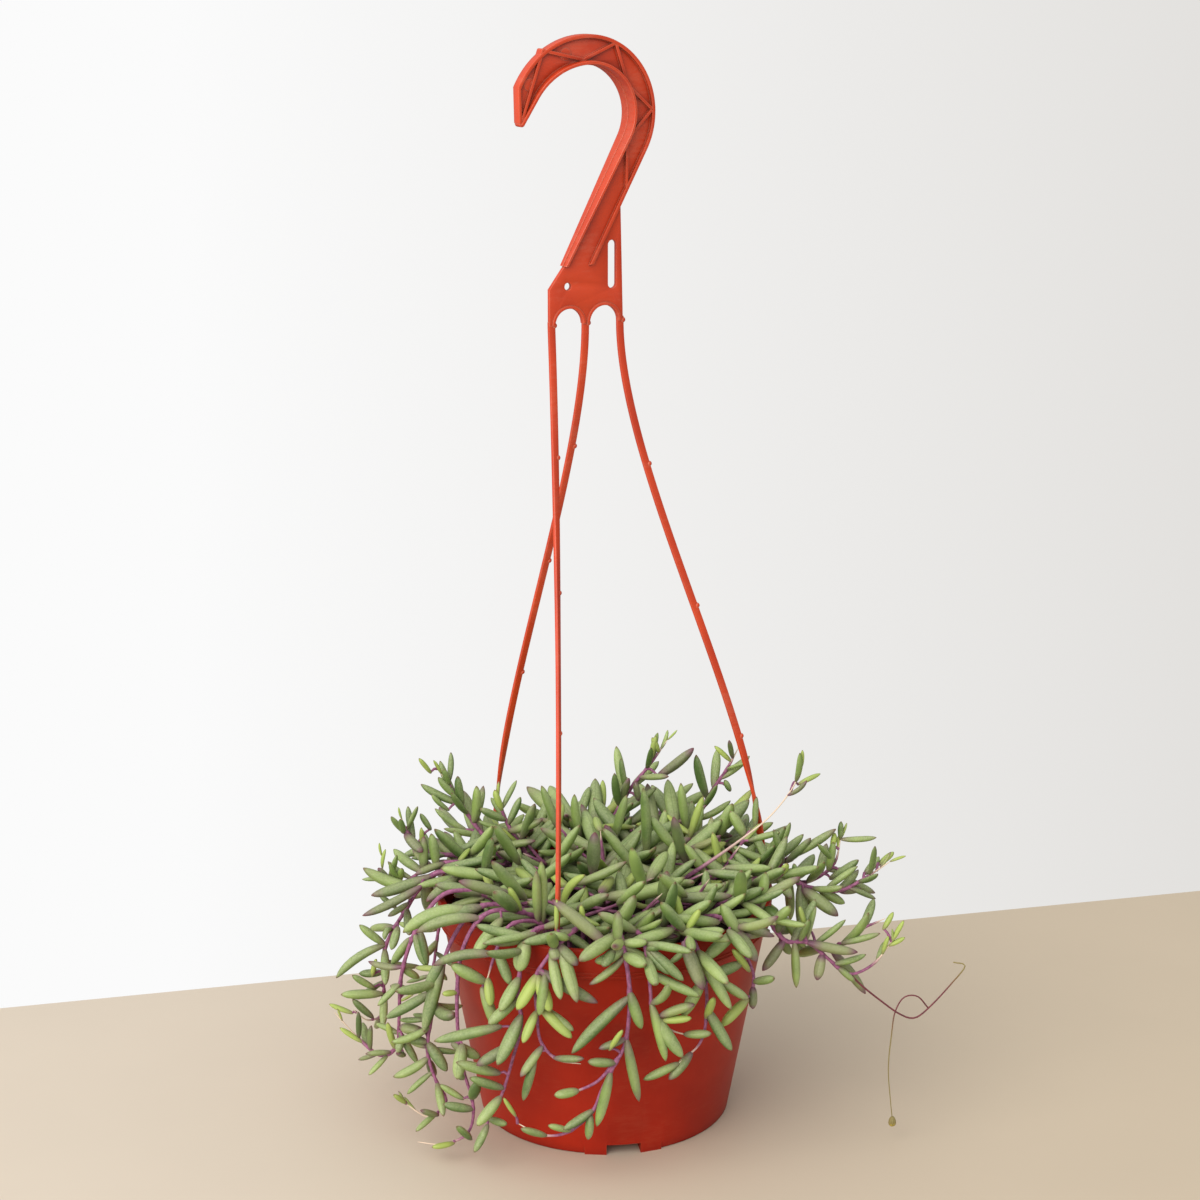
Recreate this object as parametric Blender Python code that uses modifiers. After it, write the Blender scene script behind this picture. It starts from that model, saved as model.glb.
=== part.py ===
"""Potted string of rubies: a trailing succulent in a red plastic hanging nursery pot.

Metres, +Z up. The origin is the centre of the pot's underside, -Y is the front and +X is the
viewer's right. An angle round the pot starts at the front (-Y) and grows towards +X.
Run with: blender --background --python part.py
"""

import math
import random

import bmesh
import bpy
import numpy as np
from mathutils import Matrix, Vector

MM = 0.001
GAP = 0.4 * MM                  # air left between two pieces that touch
MERGE = 0.003 * MM              # points nearer than this are one point

# ---- Pot ------------------------------------------------------------------------------------
POT_HEIGHT = 96.5 * MM
RIM_RADIUS = 70.0 * MM
RIM_WIDTH = 2.4 * MM            # flat top of the rim
BAND_HEIGHT = 12.5 * MM         # straight band under the rim
BAND_DRAFT = 0.7 * MM
SHOULDER_RADIUS = 67.6 * MM     # wall just under the band
BASE_RADIUS = 52.5 * MM
WALL = 1.3 * MM
FLOOR = 1.4 * MM
ROUND_STEPS = 60

# Drainage pockets: raised channels in the floor that open through the foot of the wall
POCKET_ANGLES = (8.4, 128.4, 248.4)
POCKET_WIDTH = 14.0 * MM
POCKET_HEIGHT = 4.4 * MM
POCKET_INNER_RADIUS = 37.0 * MM
POCKET_ROOF = 1.4 * MM
PAD_WIDTH = 9.0 * MM            # plain panel on each side of a pocket's mouth
PAD_PROUD = 0.4 * MM
DRAIN_RADIUS = 3.0 * MM
DRAIN_CIRCLE = 44.0 * MM

# ---- Soil -----------------------------------------------------------------------------------
SOIL_EDGE = 85.0 * MM           # height of the soil at the wall
SOIL_CROWN = 2.5 * MM           # how far its middle stands above that
SOIL_RADIUS = 65.6 * MM         # at its top edge
SOIL_STEPS = 30

# ---- Hanger: a flat moulding whose own X runs across the plate and Y runs up ------------------
HANGER_YAW = math.radians(30.0)
HANGER_FOOT = Vector((-7.5 * MM, 0.0, 0.0))
HOOK_CENTRE = Vector((0.0, 414.0 * MM))
OUTER_RADIUS = 30.2 * MM
INNER_RADIUS = 18.9 * MM
NOSE_OUTER_RADIUS = 34.0 * MM   # the hook opens out towards its nose
NOSE_INNER_RADIUS = 26.0 * MM
NOSE_OUTER_END = math.radians(154.0)
NOSE_INNER_END = math.radians(147.0)
SHANK_ANGLE = math.radians(-29.0)
SHANK_END = 356.0 * MM          # where the flanges end on the plate
WEB = 1.9 * MM                  # thickness of the plate and of the web between the flanges
FLANGE = 1.5 * MM               # thickness of both flanges
OUTER_FLANGE_WIDTH = 4.6 * MM
# Full width of the inner flange by share of its length, from the shank's foot to the nose
INNER_FLANGE_WIDTHS = ((0.0, 5.1), (0.17, 7.1), (0.3, 9.2), (0.45, 10.2), (0.58, 11.3),
                       (0.72, 11.5), (0.86, 8.0), (1.0, 5.0))
RIB = 1.3 * MM
RIB_WIDTH = 4.3 * MM
RIB_CORNERS = ((-28.9, 412.4), (-19.6, 438.6), (-2.0, 434.6), (12.4, 440.6),
               (17.8, 424.4), (28.9, 414.9), (17.4, 403.6), (17.4, 385.6))
PLATE_LEFT = -16.8 * MM
PLATE_RIGHT = 16.4 * MM
PLATE_BOTTOM = 333.0 * MM
PLATE_SHOULDER = 347.2 * MM
PLATE_CORNER = (15.2 * MM, 379.4 * MM)   # where its right edge meets the outer flange
ARCH_CENTRES = (-8.1 * MM, 7.75 * MM)
ARCH_RADII = (6.3 * MM, 6.6 * MM)
ARCH_LIP = 1.2 * MM
ARCH_LIP_THICKNESS = 2.8 * MM
SLOT_CENTRE = (11.4 * MM, 355.5 * MM)
SLOT_SIZE = (3.7 * MM, 19.0 * MM)
HOLE_CENTRE = (-8.6 * MM, 348.0 * MM)
HOLE_RADIUS = 1.45 * MM

# ---- Straps: plate position, angle of the foot round the rim, twist and where it starts and
# ---- ends, how far the strap bows to the right, and how far apart its nubs are
STRAPS = ((-15.6, -16.0, 44.0, 0.05, 0.6, 2.0, 51.0),
          (-0.35, -136.0, 104.0, 0.72, 1.0, 0.0, 51.0),
          (15.4, 104.0, 164.0, 0.72, 1.0, 0.0, 59.0))
STRAP_WIDTH = 3.1 * MM
STRAP_THICKNESS = 1.6 * MM
STRAP_HANDLE = 62.0 * MM        # how long each end of a strap stays upright
STRAP_SECTIONS = 22
NUB_RADIUS = 1.15 * MM
NUB_COUNT = 4
CLIP_WIDTH = 3.4 * MM
CLIP_LEG = 1.5 * MM
CLIP_TOP = 1.7 * MM
CLIP_OUTER_DROP = 7.0 * MM
CLIP_INNER_DROP = 5.0 * MM

# ---- Plant ----------------------------------------------------------------------------------
SEED = 41
STEM_RADIUS = 1.15 * MM
TIP_RADIUS = 0.6 * MM
LEAF_LENGTHS = (29.0 * MM, 16.0 * MM)    # oldest, youngest on a stem
LEAF_FATNESS = 0.12                      # radius over length
LEAF_SPHERES = 6
GOLDEN_ANGLE = math.radians(137.5)
FLOOR_CLEARANCE = 1.3 * MM
STEM_POINT_SPACING = 9.0 * MM

# Each stem: name, how many leaves, route as (angle, radius mm, height mm), side shoots as routes.
# A route's first point stands on the soil, and its height is worked out from the soil's surface.
TRAILING_STEMS = (
    ("trailing_stem_left_1", 8,
     ((-80, 46, 0), (-82, 58, 104), (-84, 72, 104), (-85, 84, 87), (-85, 92, 72), (-86, 93, 56),
      (-85, 93, 43), (-83, 100, 41), (-82, 106, 47)), ()),
    ("spreading_stem_left_1", 5,
     ((-91, 48, 0), (-91, 60, 106), (-90, 74, 104), (-90, 84, 98), (-90, 92, 101),
      (-91, 93, 109)), ()),
    ("spreading_stem_left_2", 5,
     ((-103, 48, 0), (-102, 62, 104), (-100, 74, 106), (-98, 83, 115), (-98, 87, 124)), ()),
    ("upright_stem_left_1", 6,
     ((-113, 40, 0), (-111, 50, 106), (-110, 60, 118), (-108, 66, 129), (-106, 73, 141)), ()),
    ("upright_stem_left_2", 4,
     ((-122, 28, 0), (-119, 38, 104), (-115, 46, 118), (-114, 50, 131)), ()),
    ("trailing_stem_left_2", 9,
     ((-36, 42, 0), (-41, 54, 103), (-48, 68, 105), (-53, 77, 91), (-56, 81, 72), (-57, 84, 56),
      (-58, 85, 42), (-56, 83, 30), (-54, 80, 21), (-57, 86, 14), (-61, 93, 19)), ()),
    ("trailing_stem_left_3", 8,
     ((-27, 44, 0), (-34, 58, 104), (-42, 71, 105), (-46, 79, 90), (-47, 81, 66), (-46, 80, 42),
      (-43, 78, 24), (-44, 80, 12), (-49, 87, 7), (-54, 94, 7)), ()),
    ("trailing_stem_left_4", 9,
     ((-62, 44, 0), (-62, 58, 104), (-64, 73, 105), (-66, 84, 90), (-69, 89, 70), (-70, 90, 50),
      (-73, 90, 36), (-76, 96, 30), (-79, 105, 37), (-80, 114, 48)), ()),
    ("trailing_stem_front_1", 4,
     ((-23, 50, 0), (-27, 62, 103), (-31, 74, 104), (-34, 78, 92), (-37, 78, 80)), ()),
    ("trailing_stem_front_2", 8,
     ((-17, 50, 0), (-20, 62, 102), (-24, 75, 101), (-26, 78, 80), (-25, 78, 66), (-28, 78, 50),
      (-32, 78, 33), (-37, 78, 21)), ()),
    ("trailing_stem_front_3", 7,
     ((-7, 48, 0), (-8, 62, 103), (-10, 71, 105), (-15, 78, 99), (-20, 79, 87), (-20, 78, 72),
      (-19, 78, 60), (-14, 78, 53), (-7, 78, 52)), ()),
    ("trailing_stem_front_4", 9,
     ((3, 50, 0), (4, 62, 102), (5, 75, 102), (7, 78, 84), (6, 78, 62), (2, 78, 50),
      (-1, 78, 41), (-4, 78, 31), (-11, 78, 22), (-19, 77, 19), (-27, 77, 22)),
     (((4, 78, 55), (-2, 78, 45), (-9, 79, 40)),)),
    ("trailing_stem_front_5", 6,
     ((10, 49, 0), (11, 62, 101), (12, 75, 101), (13, 78, 84), (14, 78, 72), (19, 78, 65),
      (25, 78, 61)), ()),
    ("trailing_stem_front_6", 7,
     ((22, 50, 0), (25, 63, 101), (27, 75, 101), (30, 78, 85), (31, 78, 70), (29, 78, 57),
      (22, 78, 50)), ()),
    ("trailing_stem_right_1", 6,
     ((38, 50, 0), (41, 63, 102), (43, 75, 101), (46, 79, 87), (48, 80, 78), (46, 80, 66)), ()),
    ("spreading_stem_right_1", 7,
     ((53, 47, 0), (57, 62, 103), (59, 74, 100), (62, 82, 88), (65, 90, 87), (67, 98, 80),
      (69, 106, 73), (71, 115, 77), (72, 122, 87)),
     (((65, 90, 87), (72, 97, 80), (78, 106, 85), (80, 117, 90)),)),
    ("spreading_stem_right_2", 7,
     ((77, 47, 0), (80, 61, 103), (82, 74, 104), (84, 86, 99), (84, 97, 98), (85, 106, 102),
      (85, 118, 111)), ()),
    ("spreading_stem_right_3", 6,
     ((93, 46, 0), (93, 60, 102), (93, 72, 104), (92, 82, 97), (91, 90, 100), (90, 96, 107),
      (90, 98, 117)), ()),
    ("upright_stem_right_1", 5,
     ((62, 28, 0), (70, 34, 103), (75, 43, 110), (79, 56, 120), (82, 68, 130), (83, 77, 142),
      (83, 81, 152)), ()),
    ("upright_stem_back_1", 5,
     ((-178, 40, 0), (176, 45, 108), (168, 47, 121), (158, 50, 133), (150, 54, 145)), ()),
    ("upright_stem_back_2", 5,
     ((142, 50, 0), (138, 57, 108), (134, 64, 122), (130, 69, 133), (128, 73, 142)), ()),
    ("trailing_stem_back_1", 6,
     ((122, 49, 0), (121, 62, 104), (119, 75, 103), (118, 80, 86), (120, 81, 66)), ()),
    ("trailing_stem_back_2", 7,
     ((158, 50, 0), (159, 63, 103), (161, 75, 102), (162, 79, 84), (160, 79, 60), (164, 79, 44)), ()),
    ("trailing_stem_back_3", 6,
     ((-164, 50, 0), (-163, 63, 103), (-160, 75, 102), (-158, 79, 86), (-161, 80, 66)), ()),
    ("trailing_stem_back_4", 7,
     ((-128, 50, 0), (-127, 63, 103), (-124, 75, 104), (-121, 81, 84), (-119, 83, 60),
      (-115, 84, 40), (-110, 90, 33)), ()),
)

# The crown: rings of short shoots that lean outwards more the further out they stand
CROWN_RINGS = ((1, 2.0, 0.0, 26.0), (6, 19.0, 20.0, 28.0), (11, 36.0, 4.0, 27.0))
CROWN_LEAVES = 4

# The wiry flower stalk that runs on from the lowest spreading stem, and its drooping branch
STALK_ROUTE = ((69.1, 106.6, 72.9), (70, 111, 68), (71, 118, 62), (72, 126, 56), (73, 132, 54),
               (74, 138, 59), (75, 146, 69), (75, 151, 77), (76, 146, 77))
STALK_BRANCH = ((74, 137, 58), (72.6, 133, 64), (71.4, 128, 64), (70.4, 125, 58), (70, 124, 48),
                (70.3, 123, 33), (71, 124, 18), (71, 125, 10))
STALK_RADIUS = 0.55 * MM
FLOWER_RADIUS = 1.8 * MM
FLOWER_LENGTH = 5.0 * MM


# ---- Scene helpers --------------------------------------------------------------------------

def clear_scene():
    """Remove every object that the file opened with."""
    for item in list(bpy.data.objects):
        bpy.data.objects.remove(item, do_unlink=True)


def make_collection(name):
    """Make a collection under the scene's own."""
    collection = bpy.data.collections.new(name)
    bpy.context.scene.collection.children.link(collection)
    return collection


def make_material(name, colour, roughness):
    """Make a plain plastic or plant material from an RGB colour in linear light."""
    material = bpy.data.materials.new(name)
    material.use_nodes = True
    shader = material.node_tree.nodes["Principled BSDF"]
    shader.inputs["Base Color"].default_value = (*colour, 1.0)
    shader.inputs["Roughness"].default_value = roughness
    shader.inputs["Metallic"].default_value = 0.0
    material.diffuse_color = (*colour, 1.0)
    return material


def object_from_bmesh(name, bm, collection):
    """Store a bmesh as a new object and free it."""
    bmesh.ops.recalc_face_normals(bm, faces=bm.faces)
    mesh = bpy.data.meshes.new(name)
    bm.to_mesh(mesh)
    bm.free()
    item = bpy.data.objects.new(name, mesh)
    collection.objects.link(item)
    return item


def evaluated_mesh(item):
    """Return a new mesh of the object with its modifiers and curve settings applied."""
    bpy.context.view_layer.update()
    graph = bpy.context.evaluated_depsgraph_get()
    return bpy.data.meshes.new_from_object(item.evaluated_get(graph))


def weld(mesh, distance=MERGE):
    """Merge the coincident points of a mesh, such as a curve's loose caps."""
    bm = bmesh.new()
    bm.from_mesh(mesh)
    bmesh.ops.remove_doubles(bm, verts=bm.verts, dist=distance)
    bmesh.ops.recalc_face_normals(bm, faces=bm.faces)
    bm.to_mesh(mesh)
    bm.free()


def curve_to_mesh(item, collection):
    """Replace a curve object by a closed mesh object of the same name and place."""
    name = item.name
    mesh = evaluated_mesh(item)
    weld(mesh)
    solid = bpy.data.objects.new(name, mesh)
    solid.matrix_world = item.matrix_world
    collection.objects.link(solid)
    bpy.data.objects.remove(item, do_unlink=True)
    solid.name = name
    return solid


def combine(body, tool, operation):
    """Join a tool to a body, or cut it away, and remove the tool."""
    modifier = body.modifiers.new(operation.lower(), "BOOLEAN")
    modifier.operation = operation
    modifier.object = tool
    modifier.solver = "EXACT"
    mesh = evaluated_mesh(body)
    body.modifiers.clear()
    weld(mesh)
    body.data = mesh
    bpy.data.objects.remove(tool, do_unlink=True)
    return body


def union_all(body, tools):
    """Join a list of objects to a body, one after another."""
    for tool in tools:
        combine(body, tool, "UNION")
    return body


def box(name, size, matrix, collection):
    """Make a box from the cube primitive."""
    bm = bmesh.new()
    bmesh.ops.create_cube(bm, size=1.0, matrix=matrix @ Matrix.Diagonal((*size, 1.0)))
    return object_from_bmesh(name, bm, collection)


def cylinder(name, radius, length, matrix, collection, segments=20):
    """Make a cylinder along its local Z from the cone primitive."""
    bm = bmesh.new()
    bmesh.ops.create_cone(bm, cap_ends=True, segments=segments, radius1=radius, radius2=radius,
                          depth=length, matrix=matrix)
    return object_from_bmesh(name, bm, collection)


def turned(name, profile, steps, collection):
    """Turn a profile of (radius, height) points round Z with a Screw modifier."""
    bm = bmesh.new()
    points = [bm.verts.new((radius, 0.0, height)) for radius, height in profile]
    for first, second in zip(points, points[1:]):
        bm.edges.new((first, second))
    mesh = bpy.data.meshes.new(name)
    bm.to_mesh(mesh)
    bm.free()
    item = bpy.data.objects.new(name, mesh)
    collection.objects.link(item)
    screw = item.modifiers.new("turn", "SCREW")
    screw.axis = "Z"
    screw.angle = 2.0 * math.pi
    screw.steps = steps
    screw.render_steps = steps
    screw.use_merge_vertices = True
    screw.merge_threshold = 1e-5
    item.data = evaluated_mesh(item)
    item.modifiers.clear()
    weld(item.data)
    return item


def flat_solid(name, outlines, thickness, matrix, collection):
    """Extrude flat outlines (the first is the edge, the rest are holes) about their own plane."""
    curve = bpy.data.curves.new(name, "CURVE")
    curve.dimensions = "2D"
    curve.fill_mode = "BOTH"
    curve.extrude = thickness / 2.0
    for outline in outlines:
        spline = curve.splines.new("POLY")
        spline.points.add(len(outline) - 1)
        for point, (across, up) in zip(spline.points, outline):
            point.co = (across, up, 0.0, 1.0)
        spline.use_cyclic_u = True
    item = bpy.data.objects.new(name, curve)
    collection.objects.link(item)
    solid = curve_to_mesh(item, collection)
    solid.data.transform(matrix)
    return solid


def loft(name, sections, collection):
    """Close a run of equal rings of points with side faces and two end caps."""
    bm = bmesh.new()
    rings = [[bm.verts.new(point) for point in section] for section in sections]
    count = len(rings[0])
    for lower, upper in zip(rings, rings[1:]):
        for side in range(count):
            following = (side + 1) % count
            bm.faces.new((lower[side], lower[following], upper[following], upper[side]))
    bm.faces.new(rings[0])
    bm.faces.new(rings[-1])
    bmesh.ops.triangulate(bm, faces=bm.faces)
    return object_from_bmesh(name, bm, collection)


def arc(centre, radius, start, end, count):
    """Return points along an arc, both ends included."""
    angles = [start + (end - start) * step / (count - 1) for step in range(count)]
    return [(centre[0] + radius * math.cos(angle), centre[1] + radius * math.sin(angle))
            for angle in angles]


def smooth_step(value):
    """Ease from 0 to 1."""
    value = min(1.0, max(0.0, value))
    return value * value * (3.0 - 2.0 * value)


def around(angle, radius, height):
    """Place a point by its angle from the front in degrees, radius and height in metres."""
    turn = math.radians(angle)
    return Vector((radius * math.sin(turn), -radius * math.cos(turn), height))


def facing(angle):
    """Return a turn about Z that carries local +X to the given angle round the pot."""
    return Matrix.Rotation(math.radians(angle - 90.0), 4, "Z")


# ---- Pot ------------------------------------------------------------------------------------

def wall_radius(height):
    """Outer radius of the pot's wall below the band."""
    share = height / (POT_HEIGHT - BAND_HEIGHT)
    return BASE_RADIUS + (SHOULDER_RADIUS - BASE_RADIUS) * share


def build_pot(collection):
    """Turn the shell, then add the drainage pockets, their panels and the drain holes."""
    band_foot = POT_HEIGHT - BAND_HEIGHT
    profile = (
        (0.0, FLOOR),
        (BASE_RADIUS - WALL - 1.0 * MM, FLOOR),
        (BASE_RADIUS - WALL + 0.3 * MM, FLOOR + 1.3 * MM),
        (SHOULDER_RADIUS - WALL, band_foot),
        (RIM_RADIUS - RIM_WIDTH, band_foot + 3.0 * MM),
        (RIM_RADIUS - RIM_WIDTH, POT_HEIGHT),
        (RIM_RADIUS - 0.3 * MM, POT_HEIGHT),
        (RIM_RADIUS, POT_HEIGHT - 0.3 * MM),
        (RIM_RADIUS - BAND_DRAFT, band_foot),
        (SHOULDER_RADIUS, band_foot - 0.8 * MM),
        (wall_radius(0.6 * MM), 0.6 * MM),
        (BASE_RADIUS - 0.6 * MM, 0.0),
        (0.0, 0.0),
    )
    pot = turned("pot", profile, ROUND_STEPS, collection)
    roof_radius = BASE_RADIUS - 0.5 * MM
    for index, angle in enumerate(POCKET_ANGLES):
        turn = facing(angle)
        length = roof_radius - POCKET_INNER_RADIUS
        middle = (roof_radius + POCKET_INNER_RADIUS) / 2.0
        height = POCKET_HEIGHT + POCKET_ROOF - 0.5 * MM
        shell = box(f"pocket_shell_{index}",
                    (length, POCKET_WIDTH + 2.0 * POCKET_ROOF, height),
                    turn @ Matrix.Translation((middle, 0.0, 0.5 * MM + height / 2.0)), collection)
        combine(pot, shell, "UNION")
        for side in (-1.0, 1.0):
            offset = side * (POCKET_WIDTH + PAD_WIDTH) / 2.0
            pad_turn = facing(angle + math.degrees(offset / BASE_RADIUS))
            depth = 2.2 * MM
            pad = box(f"panel_{index}", (depth, PAD_WIDTH, POCKET_HEIGHT),
                      pad_turn @ Matrix.Translation((BASE_RADIUS + PAD_PROUD - depth / 2.0, 0.0,
                                                     POCKET_HEIGHT / 2.0)), collection)
            combine(pot, pad, "UNION")
    for index, angle in enumerate(POCKET_ANGLES):
        turn = facing(angle)
        inner = POCKET_INNER_RADIUS + POCKET_ROOF
        outer = BASE_RADIUS + 6.0 * MM
        mouth = box(f"pocket_{index}", (outer - inner, POCKET_WIDTH, 2.0 * POCKET_HEIGHT),
                    turn @ Matrix.Translation(((inner + outer) / 2.0, 0.0, 0.0)), collection)
        combine(pot, mouth, "DIFFERENCE")
        drain = cylinder(f"drain_{index}", DRAIN_RADIUS, 8.0 * MM,
                         turn @ Matrix.Translation((DRAIN_CIRCLE, 0.0, POCKET_HEIGHT)), collection)
        combine(pot, drain, "DIFFERENCE")
    return pot


# ---- Soil -----------------------------------------------------------------------------------

def soil_height(radius):
    """Height of the soil's surface at a distance from the pot's axis."""
    return SOIL_EDGE + SOIL_CROWN * (1.0 - min(1.0, radius / SOIL_RADIUS) ** 2)


def build_soil(collection):
    """Turn the plug of soil that fills the pot and stands on the roofs of the pockets."""
    bottom = POCKET_HEIGHT + POCKET_ROOF + GAP
    clearance = WALL + 0.5 * MM
    surface = [(SOIL_RADIUS * step / 5.0, soil_height(SOIL_RADIUS * step / 5.0))
               for step in range(5)]
    side = [(wall_radius(SOIL_EDGE - 1.5 * MM) - clearance, SOIL_EDGE - 0.5 * MM),
            (wall_radius(bottom) - clearance, bottom)]
    return turned("potting_soil", surface + side + [(0.0, bottom)], SOIL_STEPS, collection)


# ---- Hanger ---------------------------------------------------------------------------------

def hanger_matrix():
    """Stand the flat moulding up: its X runs across the plate, its Y runs up, its Z is the front."""
    across = Vector((math.cos(HANGER_YAW), math.sin(HANGER_YAW), 0.0))
    front = Vector((math.sin(HANGER_YAW), -math.cos(HANGER_YAW), 0.0))
    upright = Matrix((across, Vector((0.0, 0.0, 1.0)), front)).transposed().to_4x4()
    return Matrix.Translation(HANGER_FOOT) @ upright


def hook_path(radius, nose_radius, nose_end, nose_drop, inset):
    """Return one edge of the hook from the foot of its shank, over the top, to its nose.

    The round part is an arc, the nose a wider arc that meets it level at the top.
    """
    throat = arc(HOOK_CENTRE, radius - inset, SHANK_ANGLE, math.pi / 2.0, 15)
    run = (throat[0][1] - SHANK_END) * math.tan(-SHANK_ANGLE)
    points = [(throat[0][0] - run, SHANK_END), *throat]
    nose_centre = (HOOK_CENTRE[0], HOOK_CENTRE[1] + radius - nose_radius)
    points += arc(nose_centre, nose_radius - inset, math.pi / 2.0, nose_end, 9)[1:]
    last = points[-1]
    points.append((last[0] + nose_drop[0], last[1] + nose_drop[1]))
    return points


def outer_path(inset):
    """Outer edge of the hook, moved inwards by an inset."""
    return hook_path(OUTER_RADIUS, NOSE_OUTER_RADIUS, NOSE_OUTER_END, (0.3 * MM, -13.4 * MM), inset)


def inner_path(outset):
    """Inner edge of the hook, moved outwards into the section."""
    return hook_path(INNER_RADIUS, NOSE_INNER_RADIUS, NOSE_INNER_END, (-6.4 * MM, -10.6 * MM),
                     -outset)


def inner_flange_width(share):
    """Full width of the inner flange at a share of the way from the shank's foot to the nose."""
    shares, widths = zip(*INNER_FLANGE_WIDTHS)
    return float(np.interp(share, shares, widths)) * MM


def build_inner_flange(matrix, collection):
    """Loft the inner flange, whose width grows from the shank and shrinks to the nose."""
    near = inner_path(0.0)
    far = inner_path(FLANGE)
    lengths = [0.0]
    for first, second in zip(near, near[1:]):
        lengths.append(lengths[-1] + math.dist(first, second))
    sections = []
    for inside, outside, length in zip(near, far, lengths):
        half = inner_flange_width(length / lengths[-1]) / 2.0
        ring = ((*inside, -half), (*outside, -half), (*outside, half), (*inside, half))
        sections.append([matrix @ Vector(point) for point in ring])
    return loft("inner_flange", sections, collection)


def build_ribs(matrix, collection):
    """Make the zigzag ribs between the two flanges, proud of the web on both faces."""
    ribs = []
    for index, (start, end) in enumerate(zip(RIB_CORNERS, RIB_CORNERS[1:])):
        start = Vector((start[0] * MM, start[1] * MM, 0.0))
        end = Vector((end[0] * MM, end[1] * MM, 0.0))
        along = end - start
        turn = Matrix.Rotation(math.atan2(along.y, along.x), 4, "Z")
        place = matrix @ Matrix.Translation((start + end) / 2.0) @ turn
        ribs.append(box(f"rib_{index}", (along.length + 0.6 * MM, RIB, RIB_WIDTH), place,
                        collection))
    return ribs


def build_web(matrix, collection):
    """Extrude the plate and the web of the hook in one, with the slot, the hole and the arches."""
    edge = outer_path(0.4 * MM)[1:] + inner_path(0.4 * MM)[::-1]
    outline = [(PLATE_LEFT, PLATE_BOTTOM)]
    for centre, radius in zip(ARCH_CENTRES, ARCH_RADII):
        outline += arc((centre, PLATE_BOTTOM), radius, math.pi, 0.0, 13)
    outline += [(PLATE_RIGHT, PLATE_BOTTOM), PLATE_CORNER, *edge, (PLATE_LEFT, PLATE_SHOULDER)]
    half_width = SLOT_SIZE[0] / 2.0
    straight = SLOT_SIZE[1] / 2.0 - half_width
    slot = arc((SLOT_CENTRE[0], SLOT_CENTRE[1] + straight), half_width, 0.0, math.pi, 9)
    slot += arc((SLOT_CENTRE[0], SLOT_CENTRE[1] - straight), half_width, math.pi, 2.0 * math.pi, 9)
    hole = arc(HOLE_CENTRE, HOLE_RADIUS, 0.0, 2.0 * math.pi * 11.0 / 12.0, 12)
    return flat_solid("hanger", (outline, slot, hole), WEB, matrix, collection)


def build_arch_lips(matrix, collection):
    """Make the low raised lips round the two arches."""
    lips = []
    for index, (centre, radius) in enumerate(zip(ARCH_CENTRES, ARCH_RADII)):
        foot = (centre, PLATE_BOTTOM)
        outline = arc(foot, radius - 0.05 * MM, 0.0, math.pi, 13)
        outline += arc(foot, radius + ARCH_LIP, math.pi, 0.0, 13)
        lips.append(flat_solid(f"arch_lip_{index}", (outline,), ARCH_LIP_THICKNESS, matrix,
                               collection))
    return lips


def strap_path(across, foot_angle, bow):
    """Return the four control points of a strap, from the plate down to the rim."""
    top = hanger_matrix() @ Vector((across * MM, PLATE_BOTTOM, 0.0))
    foot = around(foot_angle, RIM_RADIUS - RIM_WIDTH / 2.0, POT_HEIGHT + GAP + CLIP_TOP / 2.0)
    down = Vector((0.0, 0.0, STRAP_HANDLE))
    aside = Vector((bow * MM, 0.0, 0.0))
    return top, top + aside - down, foot + aside + down, foot


def strap_point(path, share):
    """Return the point of a strap's curve at a share from the plate to the rim."""
    rest = 1.0 - share
    return (path[0] * rest ** 3 + path[1] * (3.0 * share * rest ** 2)
            + path[2] * (3.0 * share ** 2 * rest) + path[3] * share ** 3)


def build_strap(index, strap, collection):
    """Loft one strap, with its twist, its nubs and the clip that hooks over the rim."""
    across, foot_angle, twist, twist_start, twist_end, bow, nub_spacing = strap
    path = strap_path(across, foot_angle, bow)
    sections = []
    frames = []
    for step in range(STRAP_SECTIONS):
        share = step / (STRAP_SECTIONS - 1)
        centre = strap_point(path, share)
        ahead = strap_point(path, min(1.0, share + 0.01)) - strap_point(path, max(0.0, share - 0.01))
        ahead.normalize()
        turned_by = smooth_step((share - twist_start) / (twist_end - twist_start))
        angle = HANGER_YAW + math.radians(twist) * turned_by
        width_axis = Vector((math.cos(angle), math.sin(angle), 0.0))
        width_axis = (width_axis - ahead * width_axis.dot(ahead)).normalized()
        thickness_axis = ahead.cross(width_axis)
        half_width = width_axis * (STRAP_WIDTH / 2.0)
        half_thickness = thickness_axis * (STRAP_THICKNESS / 2.0)
        sections.append([centre - half_width - half_thickness, centre + half_width - half_thickness,
                         centre + half_width + half_thickness, centre - half_width + half_thickness])
        frames.append((centre, width_axis))
    sections[0] = [point + Vector((0.0, 0.0, 1.5 * MM)) for point in sections[0]]
    pieces = [loft(f"strap_{index}", sections, collection)]
    for nub in range(NUB_COUNT):
        height = PLATE_BOTTOM - nub * nub_spacing * MM
        centre, width_axis = min(frames, key=lambda frame: abs(frame[0].z - height))
        bm = bmesh.new()
        place = Matrix.Translation(centre + width_axis * (STRAP_WIDTH / 2.0 - 0.3 * MM))
        bmesh.ops.create_uvsphere(bm, u_segments=6, v_segments=4, radius=NUB_RADIUS, matrix=place)
        pieces.append(object_from_bmesh(f"nub_{index}_{nub}", bm, collection))
    pieces.append(build_clip(index, foot_angle, collection))
    return pieces


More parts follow.
